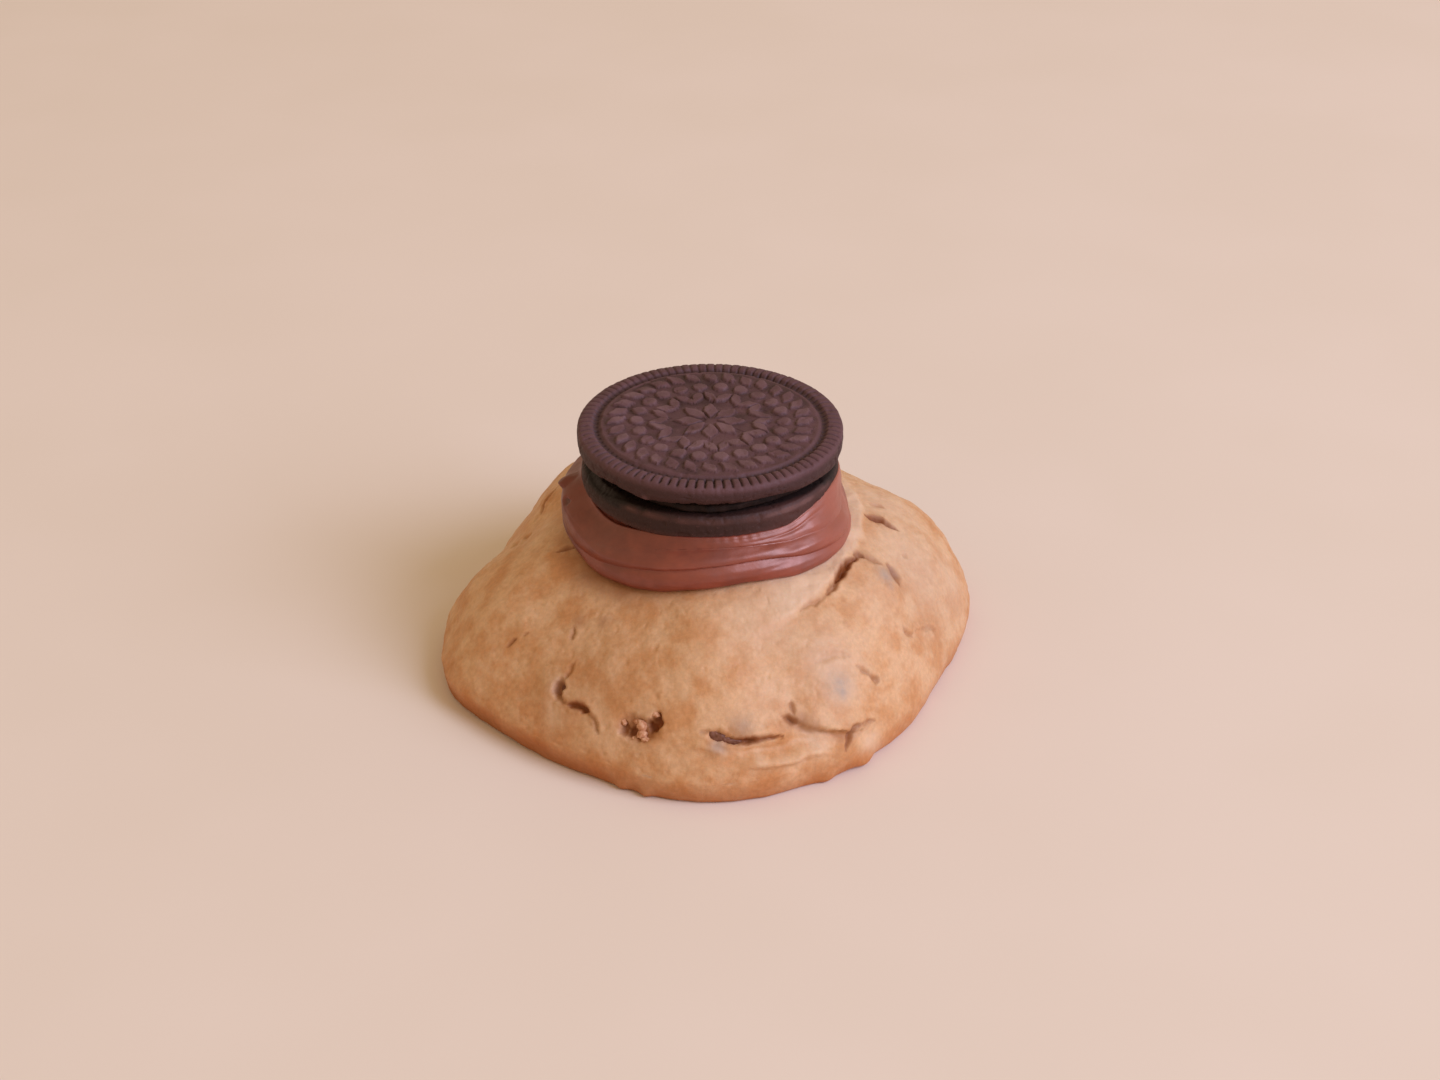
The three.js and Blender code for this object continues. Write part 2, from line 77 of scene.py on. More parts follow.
# How much farther the cream's foot spreads over the crust, by [degrees, millimetres].
CREAM_SPREAD = [
    [-150, 0], [-130, 0.2], [-118, 0.5], [-105, 0.95], [-94, 1], [-85, 0.8], [-75, 0.6], [-65, 0.9],
    [-55, 1.4], [-42, 1.5], [-30, 1.2], [-20, 0.9], [-10, 0.4], [0, 0], [150, 0],
]
# Top of the cream by angle.
CREAM_LIP = [
    [-178, 34.3], [-166, 33.2], [-150, 32.3], [-139, 32.2], [-127, 32.9], [-116, 33.4], [-98, 34.1],
    [-70, 34.2], [-56, 34.1], [-50, 34.5], [-44, 35.1], [-36, 35.5], [-24, 36], [-14, 36], [-4, 35.7],
    [8, 35.2], [26, 34.6], [50, 34.3], [90, 34.5], [130, 34.1], [160, 34],
]

# ---- Number helpers


def lerp(a, b, share):
    return a + (b - a) * share


def smoothstep(low, high, value):
    t = np.clip((value - low) / (high - low), 0, 1)
    return t * t * (3 - 2 * t)


def fade(low, high, value):
    """1 up to low, falling smoothly to 0 at high."""
    return 1 - smoothstep(low, high, value)


def bell(away):
    """1 at 0, falling smoothly to 0 on both sides; about a third at 1."""
    return np.exp(-(away**2))


def turn_between(a, b):
    """Signed difference of two angles in degrees, -180 to 180."""
    return (a - b + 180) % 360 - 180


def angle_bump(degrees, centre, half_width):
    return bell(turn_between(degrees, centre) / half_width)


def around_knots(knots, degrees):
    """Smooth closed curve through [angle, value] knots in rising order of angle."""
    knots = np.array(knots, float)
    count = len(knots)
    at = (np.asarray(degrees, float) - knots[0, 0]) % 360 + knots[0, 0]
    first = np.searchsorted(knots[:, 0], at, side="right") - 1

    def knot(step):
        index = first + step
        return knots[index % count, 0] + 360 * (index // count), knots[index % count, 1]

    (a0, v0), (a1, v1), (a2, v2), (a3, v3) = [knot(step) for step in (-1, 0, 1, 2)]
    span = a2 - a1
    t = (at - a1) / span
    slope1 = (v2 - v0) / (a2 - a0) * span
    slope2 = (v3 - v1) / (a3 - a1) * span
    return (
        (2 * t**3 - 3 * t**2 + 1) * v1 + (t**3 - 2 * t**2 + t) * slope1
        + (3 * t**2 - 2 * t**3) * v2 + (t**3 - t**2) * slope2
    )


def polar(radius, degrees, height):
    """Points at radii, angles and heights that may be arrays."""
    angle = np.radians(degrees)
    radius, angle, height = np.broadcast_arrays(radius, angle, height)
    return np.stack([radius * np.cos(angle), radius * np.sin(angle), height], axis=-1)


def angle_of(points):
    return np.degrees(np.arctan2(points[..., 1], points[..., 0]))


def radius_of(points):
    return np.hypot(points[..., 0], points[..., 1])


def turned(x, y, degrees):
    """Coordinates as seen from axes turned by an angle."""
    turn = math.radians(degrees)
    return x * math.cos(turn) + y * math.sin(turn), y * math.cos(turn) - x * math.sin(turn)


def rough(points, size, octaves=3, seed=0):
    """Smooth random field from about -1 to 1 whose largest features are size across."""
    shift = Vector((17.3, 9.1, 4.7)) * (seed + 1)
    spots = (points.reshape(-1, 3) / size).tolist()
    values = [noise.fractal(Vector(spot) + shift, 1, 2, octaves) for spot in spots]
    return np.array(values).reshape(points.shape[:-1])


def shaken(points, size, reach, seed):
    """The points, each moved by up to about reach, so that what is drawn by them is ragged."""
    moves = [rough(points, size, 2, seed + axis) for axis in range(3)]
    return points + reach * np.stack(moves, axis=-1)


def smooth_path(spots, steps):
    """Points along a smooth curve through the spots."""
    spots = np.array(spots, float)
    padded = np.concatenate([[2 * spots[0] - spots[1]], spots, [2 * spots[-1] - spots[-2]]])
    curve = []
    for a, b, c, d in zip(padded, padded[1:], padded[2:], padded[3:]):
        for t in np.arange(steps) / steps:
            curve.append(0.5 * (2 * b + (c - a) * t + (2 * a - 5 * b + 4 * c - d) * t**2
                                + (3 * b - a - 3 * c + d) * t**3))
    return np.array(curve + [spots[-1]])


# ---- Mesh helpers


def outward(rings):
    """Unit normals of a grid of points (rings, around, 3) with the lowest ring first."""
    around = np.roll(rings, -1, axis=1) - np.roll(rings, 1, axis=1)
    normals = np.cross(around, np.gradient(rings, axis=0))
    return normals / np.maximum(np.linalg.norm(normals, axis=-1, keepdims=True), 1e-9)


def shell_faces(count, around, start):
    """Quads between the rings and a fan at each pole; the poles' vertices come after the rings."""
    ring, step = np.meshgrid(np.arange(count - 1), np.arange(around), indexing="ij")
    here = start + ring * around + step
    beside = start + ring * around + (step + 1) % around
    faces = np.stack([here, beside, beside + around, here + around], axis=-1).reshape(-1, 4).tolist()
    bottom = start + count * around
    last = bottom - around
    for i in range(around):
        j = (i + 1) % around
        faces.append((bottom, start + j, start + i))
        faces.append((bottom + 1, last + i, last + j))
    return faces


def add_object(name, data):
    made = bpy.data.objects.new(name, data)
    bpy.context.collection.objects.link(made)
    return made


def make_piece(name, shells, material, node):
    """One mesh of closed shells. A shell is its rings (rings, around, 3), from the bottom up,
    and a dict of tints (rings, around) that the material reads."""
    vertices, faces, tints = [], [], {}
    start = 0
    for rings, marks in shells:
        count, around = rings.shape[:2]
        poles = np.array([rings[0].mean(axis=0), rings[-1].mean(axis=0)])
        vertices += [rings.reshape(-1, 3), poles]
        faces += shell_faces(count, around, start)
        for key, values in marks.items():
            ends = [values[0].mean(), values[-1].mean()]
            tints.setdefault(key, []).append(np.append(values.ravel(), ends))
        start += count * around + 2
    mesh = bpy.data.meshes.new(name)
    mesh.from_pydata((np.concatenate(vertices) * MM).tolist(), [], faces)
    for key, values in tints.items():
        layer = mesh.attributes.new(key, "FLOAT", "POINT")
        layer.data.foreach_set("value", np.concatenate(values).astype(np.float32))
    mesh.shade_smooth()
    mesh.materials.append(material)
    piece = add_object(name, mesh)
    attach(piece, "root")
    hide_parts(node)


# ---- Base cookie

DOUGH_AROUND = 768
DOUGH_FLANK_RINGS = 116
DOUGH_RIM_RINGS = 9
FRONT_CROWDING = 0.3  # the mesh is this much finer in front, where the crust is broken
FRONT = -80  # degrees
UNDER_CREAM = 1.5  # how far the crust's mesh runs in under the cream

# Soft lumps and dips of the crust: [x, y, width, height], on the dome above that spot.
LUMPS = [
    [20.4, -36, 6, 1.2], [14.8, -41.4, 1.8, -0.6], [29, -14.5, 5, 0.9], [25.5, -6, 4, 0.5],
    [-26.3, -31.6, 2.6, 0.5], [-15, -34, 6.5, 0.5], [2, -37, 7, 0.4], [10, -35.5, 4.5, -0.5],
    [-33, 5, 4, -0.5], [-36, -12, 7, 0.4], [-42.5, 1.5, 7, 1.8], [36, 2, 6, 0.4], [38.2, 16.8, 5, 0.9],
    [16, 34, 6, 0.8], [-8, 38, 6, 0.7], [-27, 27, 6, 0.6], [4, 30, 4.5, -0.5], [24, 27, 3.2, 0.5],
    [-21, 35, 3.2, -0.45], [3, 41, 3, -0.4], [-37, 18, 3.5, 0.5], [-15, 28, 3, -0.35],
]
# Overlapping fold at the foot of the front: a ridge with a hollow above it.
LEDGE = {"centre": -77, "half_width": 14, "hollow": 8.6, "ridge": 7, "reach": 1}
# The crust is raised and pale in a collar beside the cream: its outer edge by [degrees, radius].
COLLAR = [
    [-85, 33], [-79, 33.6], [-73, 33.2], [-66, 31.9], [-57, 30.4], [-51, 29.6], [-41, 28], [-29, 26.9],
    [-19, 26.4], [-9, 26.3], [2, 26.7], [14, 26.7], [26, 27.6], [45, 28],
]
COLLAR_RISE = 0.5

# Cracks of the crust: [width, depth, how dark the painted shade inside it is, how far the crust beside it
# is lifted, path of [degrees, radius]].
CRACKS = [
    # right shoulder
    [1.7, 1.4, 1, 0.15, [[-26.5, 27.7], [-31, 27.3], [-36.5, 27.7], [-41, 28.5], [-44.5, 28.9]]],
    [1.5, 0.8, 0.6, 0.1, [[-41.5, 28.4], [-45.5, 29.3], [-50.5, 30]]],
    [1.3, 0.4, 0.3, 0, [[-50.5, 30.1], [-54.6, 30.7], [-57.5, 30.6], [-61.7, 31.1]]],
    [2, 0.8, 0.7, 0.1, [[-26.8, 27.2], [-25, 27.6], [-24.6, 28.5]]],
    [2.2, 0.4, 0.45, 0.05, [[-24.7, 28.3], [-23.4, 29.6], [-21.9, 30.8]]],
    [2.3, 1.6, 1, 0.1, [[1.6, 26.9], [1.3, 28.2], [1.7, 29.4], [1.2, 30.3]]],
    [1.8, 0.9, 0.75, 0.1, [[1.5, 29], [1, 30.7], [0.8, 32.4]]],
    [1.7, 0.3, 0.3, 0.05, [[12.8, 28.5], [12, 30], [11, 31.2]]],
    [3, 0.6, 0.5, 0, [[-19.6, 31.6], [-20.2, 32.7], [-21.2, 33.5], [-22.7, 34.4]]],
    # front
    [1.2, 0.4, 0.4, 0.05, [[-92.4, 44.5], [-90.5, 44.7], [-89, 44.9]]],
    [1.6, 1, 0.9, 0.15, [[-86.6, 45.4], [-84.4, 45.6], [-82.2, 45.6], [-79.4, 45.4], [-75, 45.1]]],
    [2, 0.8, 0.6, 0.1, [[-74.4, 43.3], [-72.6, 43.7], [-71.2, 44]]],
    [1.3, 0.5, 0.5, 0.05, [[-71.6, 41.9], [-71.9, 42.5], [-71.5, 43.2]]],
    [2, 0.4, 0.12, 0.05, [[-63.6, 38.5], [-60, 38.1], [-57, 38.1], [-53.5, 38.6]]],
    [1.1, 0.45, 0.32, 0.15, [[-53.2, 39.5], [-51.6, 40.3], [-49.9, 40.9]]],
    [1.4, 0.6, 0.45, 0.05, [[-50.3, 40.7], [-48.9, 41.3], [-47.8, 41.5]]],
    [1.7, 0.8, 0.6, 0.15, [[-62, 45.9], [-60.7, 45.1], [-59, 44.6], [-57.2, 44.4]]],
    [1.1, 0.45, 0.45, 0.1, [[-57.8, 44.5], [-55.3, 44.3], [-52.4, 44.2]]],
    # left
    [1, 0.35, 0.3, 0.05, [[-126.2, 37], [-126.7, 38.2], [-127.2, 39.6]]],
    [1, 0.45, 0.45, 0.1, [[-127.5, 41.3], [-125.5, 41.7], [-123.2, 41.9]]],
    [1.5, 1, 0.9, 0.15, [[-123.6, 41.9], [-121.4, 41.7], [-119.2, 41.6], [-117.4, 42.1]]],
    [1.9, 1, 0.9, 0, [[-119.6, 41.7], [-117.9, 42]]],
    [1.2, 0.4, 0.35, 0.1, [[-117.9, 42], [-115.7, 42.9], [-114, 44]]],
    [1, 0.5, 0.5, 0.1, [[-147.4, 40.4], [-147, 39.4], [-146.6, 38.6]]],
    [0.8, 0.3, 0.35, 0.05, [[-145.3, 37.9], [-144.8, 37]]],
    [1, 0.4, 0.4, 0.1, [[-131, 34.9], [-131.8, 33.7], [-133.4, 32.8]]],
    # right flank
    [1.1, 0.4, 0.25, 0.15, [[-31.9, 37.9], [-31.4, 38.7], [-29.2, 39.3]]],
    [1.1, 0.4, 0.22, 0.15, [[-25.4, 39.1], [-21.5, 39.7], [-18.2, 40.7]]],
    # left shoulder
    [1.4, 0.6, 0.55, 0, [[-161.6, 27.4], [-160.3, 25.9], [-158.1, 24.4]]],
    # hidden side
    [1.7, 1.2, 0.8, 0.15, [[62, 38.6], [68, 39.8], [74, 39.2], [81, 40.4]]],
    [1.2, 0.6, 0.5, 0.1, [[80.5, 40.4], [84, 39.2], [90, 39.7]]],
    [1.1, 0.5, 0.45, 0.1, [[74.5, 39.3], [73, 36.8], [75, 34.9]]],
    [1.5, 1, 0.8, 0.15, [[131, 31], [129, 33.5], [131.5, 36], [130, 38.2]]],
    [1.2, 0.6, 0.5, 0.1, [[152, 30.5], [157, 31.6], [163, 31.4]]],
    [1.4, 0.8, 0.65, 0.15, [[34, 37.5], [36, 39.8], [34.5, 42]]],
    [1.4, 0.8, 0.65, 0.1, [[109, 41.6], [114, 40.2], [120, 41]]],
    [1.4, 0.8, 0.65, 0.1, [[168, 36], [171, 38.2], [169.5, 40.2]]],
    [1.2, 0.6, 0.55, 0.1, [[62, 32], [60.2, 33.6], [61, 35.3]]],
]

# Folds, where the crust above a path lies over the crust below it. Seen from outside, the path runs
# from left to right: [rise, its reach up the slope, how dark the painted shade below it is, path of
# [degrees, radius]].
FOLDS = [
    [0.9, 3.2, 0.35, [[-73.6, 43.4], [-71.7, 43.9], [-69, 44.3], [-66.4, 44.5], [-61.8, 44.8],
                      [-57.5, 44.6], [-53, 44.2]]],
    [0.35, 2, 0, [[-89.5, 44.9], [-85.3, 45.6], [-80.4, 45.5], [-75.6, 45.2], [-72, 45]]],
    [0.3, 1.8, 0, [[-124.5, 42], [-121, 41.7], [-118, 42], [-114.5, 43.8]]],
    [0.3, 2.2, 0, [[-36.5, 36.6], [-31, 38.6], [-25, 39.4], [-18, 40.6]]],
    [0.5, 2.6, 0, [[60, 38.9], [68, 39.9], [74, 39.4], [84, 40.6]]],
    [0.5, 2.6, 0.15, [[126, 41.6], [136, 40.4], [147, 39.8]]],
]
# Rounded ridge along the foot of the front.
FOOT_RIDGE = [
    [-92, 46], [-88.5, 46.7], [-85, 47.2], [-81.5, 47.3], [-77.7, 47], [-73.9, 46.7],
    [-70.6, 46.2], [-68.3, 46], [-65, 45.4],
]
FOOT_RIDGE_HEIGHT = 0.85
FOOT_RIDGE_WIDTH = 0.8

# Places where the crust has broken away: [degrees, radius, across, up the slope, depth, heading].
HOLES = [
    [-126.6, 37.8, 0.8, 1.3, 0.35, -20], [-126.9, 38.9, 1, 1.2, 0.45, -10],
    [-127.2, 40.6, 2.2, 4, 1.5, 4], [-105.4, 43.5, 8.4, 4.6, 1.1, -3], [-106.7, 43.7, 2.4, 2.4, 1.8, 0],
    [-108.7, 43.3, 1.9, 3.2, 1.6, 15], [-102.4, 43.4, 2.6, 2.6, 2.1, 0], [-101.4, 42.9, 2, 3.2, 1.9, 20],
    [-88.3, 45.1, 4, 2.2, 0.8, -9], [-85.4, 45.6, 4.2, 1.4, 0.7, -4], [-9.3, 33.8, 1.6, 1.3, 0.3, 0],
    [173.9, 34.4, 2.6, 2.2, 0.6, 0], [173, 32.4, 2, 1.8, 0.5, 0], [58, 36, 2.6, 2, 1.2, 20],
    [124, 30, 3, 2.1, 1.2, -10], [148, 39.5, 4.4, 2.6, 1.1, 14], [90, 43, 1.8, 1.5, 0.7, 0],
    [50, 43.6, 4.8, 2.3, 1.1, -8],
]

# Chips that show, and pale crumbs in the holes: [degrees, radius, size, how far they are sunk in,
# heading], with the size across, up the slope and out of it.
CHIPS = [
    [-88.6, 45.1, [3.8, 2.6, 1.8], 1, -14], [-87.1, 45.3, [3.2, 1.9, 1.7], 0.98, -7],
    [-85.7, 45.6, [3.2, 1.4, 1.4], 0.95, -7], [-127.2, 40.4, [1.4, 2.8, 1.4], 1.5, 4],
    [-21, 33, [1.3, 3, 1.4], 0.95, 28], [58, 36, [2.2, 1.6, 1.6], 0.9, 20],
    [124, 30, [2.6, 1.7, 1.6], 0.9, -10], [50, 43.6, [3.4, 1.6, 1.4], 0.9, -8],
]
CRUMBS = [
    [-104.8, 43.2, [1.7, 2.3, 1.7], 0.9, 12], [-104.4, 44.1, [1.7, 1.6, 1.5], 0.8, -20],
    [-105.9, 42.7, [1.4, 1.1, 1.2], 0.9, 20], [-106, 44.5, [1.2, 1, 1], 0.9, 0],
    [-107.8, 44.4, [1.5, 1, 1], 1, 0], [-109.2, 42.6, [1.1, 1.5, 0.9], 0.7, 30],
    [-102, 42.2, [1.7, 1, 1], 0.4, -20], [-103.4, 44.7, [1.7, 0.9, 0.9], 0.6, 0],
]

# Grey bloom where a chip lies just under the crust: [degrees, radius, reach, strength].
BLOOMS = [
    [-59.7, 41.7, 1.3, 0.8], [-59.6, 40.8, 1.3, 0.7], [-60.9, 41.5, 1.1, 0.6], [-59.6, 41, 2.8, 0.5],
    [-25, 32.3, 2, 0.65], [-26.5, 33.6, 1.2, 0.4], [-20.6, 32.8, 1.3, 0.7], [-88.4, 46.1, 1.4, 0.6],
    [-83, 44.2, 1.9, 0.4], [-127.9, 40.2, 1.5, 0.2], [44, 40, 2.6, 0.45], [128, 31.5, 2.4, 0.4],
    [-12, 38, 13, 0.16], [-58, 36, 9, 0.08],
]
# Paler, pinker patches of crust, and a painted highlight along the ridge at the foot of the front: the
# rows from -87 to -68.5 degrees at radii of 46.1 to 47.3.
PALES_AND_HIGHLIGHTS = [
    [-61, 38.5, 6, 0.5], [-76, 41, 4, 0.25], [-68, 45.2, 1.9, 0.65], [-76, 31, 7, 0.5],
    [-8, 34, 9, 0.45], [16, 32, 7, 0.6], [-35, 33, 6, 0.25], [0, 42, 6, 0.4],
    [-127, 43, 2.6, 0.3], [-54.7, 45.3, 2, 0.6], [-128.6, 40.6, 1.5, 0.2],
    [-87, 47, 1.1, 0.35], [-84, 47.2, 1.1, 0.45], [-80, 47.3, 1.1, 0.35], [-76, 47, 1.1, 0.3],
    [-72, 46.5, 1.1, 0.35], [-68.5, 46.1, 1.2, 0.3], [178, 29, 5, 0.3],
]
# Brown stains in the crust, and painted shade under the bulge at the front: the rows from -72.5 to -68.4
# degrees.
STAINS_AND_SHADE = [
    [-132.1, 32.1, 1.5, 0.45], [-124.3, 31, 1.5, 0.4], [-105.2, 43.6, 3.4, 0.35], [-24.5, 28.2, 1.6, 0.4],
    [-72.5, 43.8, 1.5, 0.4], [1.5, 29.2, 1.6, 0.35], [-70.2, 43.8, 1.6, 0.6], [-68.4, 44.1, 1.3, 0.45],
    [-60.5, 45, 1.4, 0.3], [-120.5, 41.8, 1.5, 0.3], [-39, 28.2, 1.8, 0.35], [-84, 44.9, 2, 0.3],
    [-20.9, 33.1, 1.2, 0.45], [-22.6, 34.4, 1, 0.3], [-121, 40, 11, 0.17],
]
# Drips where the rim meets the table: [degrees, half width in degrees, how far they stand out].
DRIPS = [[-108, 1.6, 0.7], [-102.6, 1.4, 0.9], [-65.5, 1.8, 0.8], [-56, 2.2, 0.9]]
# Painted shade in the crust beside the cream at the left.
SHADE = {"centre": -136, "half_width": 34, "radius": 25.2, "reach": 2.8, "strength": 0.8}


def flank_fullness(degrees):
    a = np.radians(degrees)
    return (
        3.11 + 1.26 * np.cos(a) - 0.14 * np.sin(a) + 0.13 * np.cos(2 * a) - 0.43 * np.sin(2 * a)
        + 1.53 * angle_bump(degrees, 125, 34)
    )


def dome_height(degrees, radius):
    rho = np.clip(radius / around_knots(OUTLINE, degrees), 0, 1)
    profile = (1 - rho ** flank_fullness(degrees)) ** (1 / DOME_ROUNDING)
    lean = DOME_LEAN * radius * np.cos(np.radians(degrees)) * (1 - rho**2)
    return RIM_HEIGHT + (DOME_HEIGHT - RIM_HEIGHT) * profile + lean


def dome_point(degrees, radius):
    return polar(radius, degrees, dome_height(degrees, radius))


def dome_basis(degrees, radius):
    """Directions across, up the slope and out of the dome at a spot."""
    step = 0.2
    across = polar(1, degrees + 90, 0)
    slope = dome_point(degrees, radius - step) - dome_point(degrees, radius + step)
    up_slope = slope / np.linalg.norm(slope)
    return across, up_slope, np.cross(across, up_slope)


def cream_radius(degrees):
    return CREAM_RADIUS + CREAM_SHIFT * np.cos(np.radians(degrees))


def cream_seat(degrees):
    """Radius of the cream's edge on the crust."""
    return cream_radius(degrees) + around_knots(CREAM_SPREAD, degrees) - CREAM_SEAT_INSET


def smooth_dome():
    """The dome without relief, as rings of points from the table up to the cream."""
    turns = np.arange(DOUGH_AROUND) / DOUGH_AROUND * 360
    degrees = turns - np.degrees(FRONT_CROWDING * np.sin(np.radians(turns - FRONT)))
    edge = around_knots(OUTLINE, degrees)
    seat = cream_seat(degrees) - UNDER_CREAM
    rings = []
    for turn in np.linspace(0, np.pi / 2, DOUGH_RIM_RINGS, endpoint=False):
        tuck = RIM_TUCK * (1 - np.sin(turn))
        rings.append(polar(edge - tuck, degrees, RIM_HEIGHT * (1 - np.cos(turn))))
    for inward in np.linspace(0, 1, DOUGH_FLANK_RINGS) ** 1.5:
        rings.append(dome_point(degrees, lerp(edge, seat, inward)))
    return np.array(rings)


def along_path(points, path):
    """Distance of each point to a path, the share of the way along it, and the side of the path:
    1 above it on the slope, or -1 below it."""
    starts, runs = path[:-1], np.diff(path, axis=0)
    reach = ((points[:, None] - starts) * runs).sum(-1) / (runs**2).sum(-1)
    offsets = points[:, None] - starts - np.clip(reach, 0, 1)[..., None] * runs
    away = np.linalg.norm(offsets, axis=-1)
    nearest = away.argmin(axis=1)
    row = np.arange(len(points))
    run, offset = runs[nearest], offsets[row, nearest]
    side = np.sign(run[:, 0] * offset[:, 1] - run[:, 1] * offset[:, 0])
    return away[row, nearest], (nearest + np.clip(reach, 0, 1)[row, nearest]) / len(starts), side


def near_path(points, spots, reach):
    """Indices of the points within about reach of a path of [degrees, radius], and what along_path
    says of them."""
    path = smooth_path([dome_point(*spot) for spot in spots], 8)
    close = ((points > path.min(axis=0) - reach) & (points < path.max(axis=0) + reach)).all(axis=1)
    near = np.flatnonzero(close)
    return near, *along_path(points[near], path)


def tapered(share, end, power):
    """1 midway along a path, falling towards its ends."""
    return np.sin(np.pi * np.clip(share, end, 1 - end)) ** power


def deepen(field, near, values):
    """Raises a field to the values wherever it is lower."""
    field[near] = np.maximum(field[near], values)


def cut_cracks(points, relief):
    """Cracks with painted shade inside them, and the crust lifted beside them."""
    for width, depth, dark, lip, spots in CRACKS:
        near, away, share, _ = near_path(points, spots, 2.5 * width)
        opening = tapered(share, 0.03, 0.5)
        half = width / 2 * opening
        inside = fade(0.05, 1, away / half)
        beside = bell((away - half - 0.3) / 0.6) * opening
        relief["swell"][near] += lip * beside * (1 - inside)
        deepen(relief["pit"], near, depth * opening * inside)
        # Painted shade inside the crack.
        deepen(relief["crevice_shade"], near, dark * fade(0.25, 1.55, away / half))


def lay_folds(points, relief):
    """Folds with a steep edge, and the rounded ridge at the foot."""
    for rise, reach, dark, spots in FOLDS:
        near, away, share, side = near_path(points, spots, 2 * reach)
        ends = tapered(share, 0.01, 0.7)
        above = side * away
        crest = smoothstep(-0.25, 0.45, above) * bell(np.maximum(above, 0) / reach)
        under = bell((above + 0.5) / 0.5)
        relief["swell"][near] += ends * rise * (crest - 0.4 * under)
        # Painted shade under the fold's edge.
        deepen(relief["crevice_shade"], near, dark * ends * under)
    near, away, share, _ = near_path(points, FOOT_RIDGE, 3)
    ridge = tapered(share, 0.01, 0.45) * bell(away / FOOT_RIDGE_WIDTH)
    relief["swell"][near] += FOOT_RIDGE_HEIGHT * ridge


def sink_holes(points, relief):
    """Holes with steep ragged sides and painted shade inside them."""
    for degrees, radius, across, up_slope, depth, heading in HOLES:
        basis = np.array(dome_basis(degrees, radius))
        offset = (points - dome_point(degrees, radius)) @ basis.T
        x, y = turned(offset[:, 0], offset[:, 1], heading)
        inside = fade(0.4, 1.1, np.hypot(x / (across / 2), y / (up_slope / 2)))
        deepen(relief["pit"], ..., depth * inside)
        # Painted shade inside the hole.
        deepen(relief["crevice_shade"], ..., min(1, 0.5 * depth) * inside)


def spread_tint(points, spots):
    """Soft patches around spots of [degrees, radius, reach, strength]."""
    tint = np.zeros(len(points))
    for degrees, radius, reach, strength in spots:
        away = np.linalg.norm(points - dome_point(degrees, radius), axis=1)
        tint = np.maximum(tint, strength * bell(away / reach))
    return tint


def crust_grain(points):
    """Relief of the baked surface: soft lumps, a few wrinkles and shallow pits."""
    lumps = 0.3 * rough(points, 15, 2, seed=1) + 0.2 * rough(points, 6, 2, seed=2)
    pillows = 0.13 * rough(points * [1, 1, 1.3], 2.8, 2, seed=9)
    folds = 1 - np.abs(rough(points * [1, 1, 1.35], 5, 2, seed=3))
    wrinkles = -0.09 * smoothstep(0.86, 1, folds) * smoothstep(0.05, 0.5, rough(points, 10, 1, seed=4))
    pits = -0.12 * smoothstep(0.4, 0.66, rough(points, 1.6, 2, seed=5))
    return lumps + pillows + wrinkles + pits + 0.03 * rough(points, 0.9, 2, seed=6)


def rim_edge(points, degrees):
    """How far the rim stands out low down: a thin skirt at the table and a few drips."""
    height = points[:, 2]
    skirt = (0.35 + 0.35 * rough(points * [1, 1, 0.2], 5, 2, seed=7)) * bell(height / 0.9)
    drips = sum(size * angle_bump(degrees, centre, half_width) for centre, half_width, size in DRIPS)
    return skirt + drips * bell((height - 0.6) / 1.3)


def collar_share(points, degrees):
    """1 on the raised collar beside the cream, 0 beyond its edge."""
    edge = np.interp(degrees, *np.array(COLLAR).T)
    present = smoothstep(-85, -62, degrees) * fade(18, 42, degrees)
    return present * fade(-1, 0.7, radius_of(points) - edge)


def crust_surface(points, degrees):
    """Relief and tints at points of the smooth dome."""
    ragged = shaken(points, 1.6, 0.32, seed=20)
    relief = {name: np.zeros(len(points)) for name in ("swell", "pit", "crevice_shade")}
    cut_cracks(ragged, relief)
    lay_folds(shaken(points, 3, 0.4, seed=40), relief)
    sink_holes(shaken(points, 1.2, 0.42, seed=44), relief)
    for x, y, width, height in LUMPS:
        relief["swell"] += height * bell(np.hypot(points[:, 0] - x, points[:, 1] - y) / width)
    collar = collar_share(shaken(points, 4, 1, seed=24), degrees)
    relief["swell"] += COLLAR_RISE * collar * (1 + 0.6 * rough(points, 4, 2, seed=25))
    relief["bloom"] = spread_tint(ragged, BLOOMS)
    # Paler crust on the collar, and the painted highlight along the foot ridge.
    relief["pale_and_highlight"] = np.maximum(spread_tint(shaken(points, 5, 1.5, seed=28), PALES_AND_HIGHLIGHTS), 0.75 * collar)
    # Painted shade beside the cream at the left.
    beyond = np.maximum(radius_of(points) - SHADE["radius"], 0) / SHADE["reach"]
    shade = SHADE["strength"] * angle_bump(degrees, SHADE["centre"], SHADE["half_width"])
    shade *= bell(beyond + 0.4 * rough(points, 4, 2, seed=32))
    # Darker low on the rim at the lower left: browning and painted shade where the rim turns from the
    # light.
    foot = 0.5 * fade(0.6, 4.6, points[:, 2]) * angle_bump(degrees, -138, 45)
    # Stains, with painted shade beside the cream and low on the rim at the lower left.
    relief["stain_and_shade"] = np.maximum(np.maximum(spread_tint(ragged, STAINS_AND_SHADE), shade), foot)
    return relief


def rim_browning_and_shade(points, degrees):
    """How much browner the crust is, most along the rim at the left: baked browning, partly painted shade
    on the left side and the lower left rim, which face away from the light.
    """
    height = points[:, 2]
    rim = 0.6 + 0.42 * np.cos(np.radians(degrees + 160)) + 0.22 * angle_bump(degrees, -35, 35)
    baked = rim * fade(0.3, 7.5, height) + 0.3 * fade(0.2, 1.1, height)
    # Browner to the left, partly as painted shade.
    left = 0.2 * smoothstep(-0.2, 1, -points[:, 0] / 40)
    right = 0.2 * smoothstep(0.3, 1, points[:, 0] / 40)
    return np.clip(baked + left + right - 0.1 + 0.18 * rough(points, 12, 2, seed=8), 0, 1)


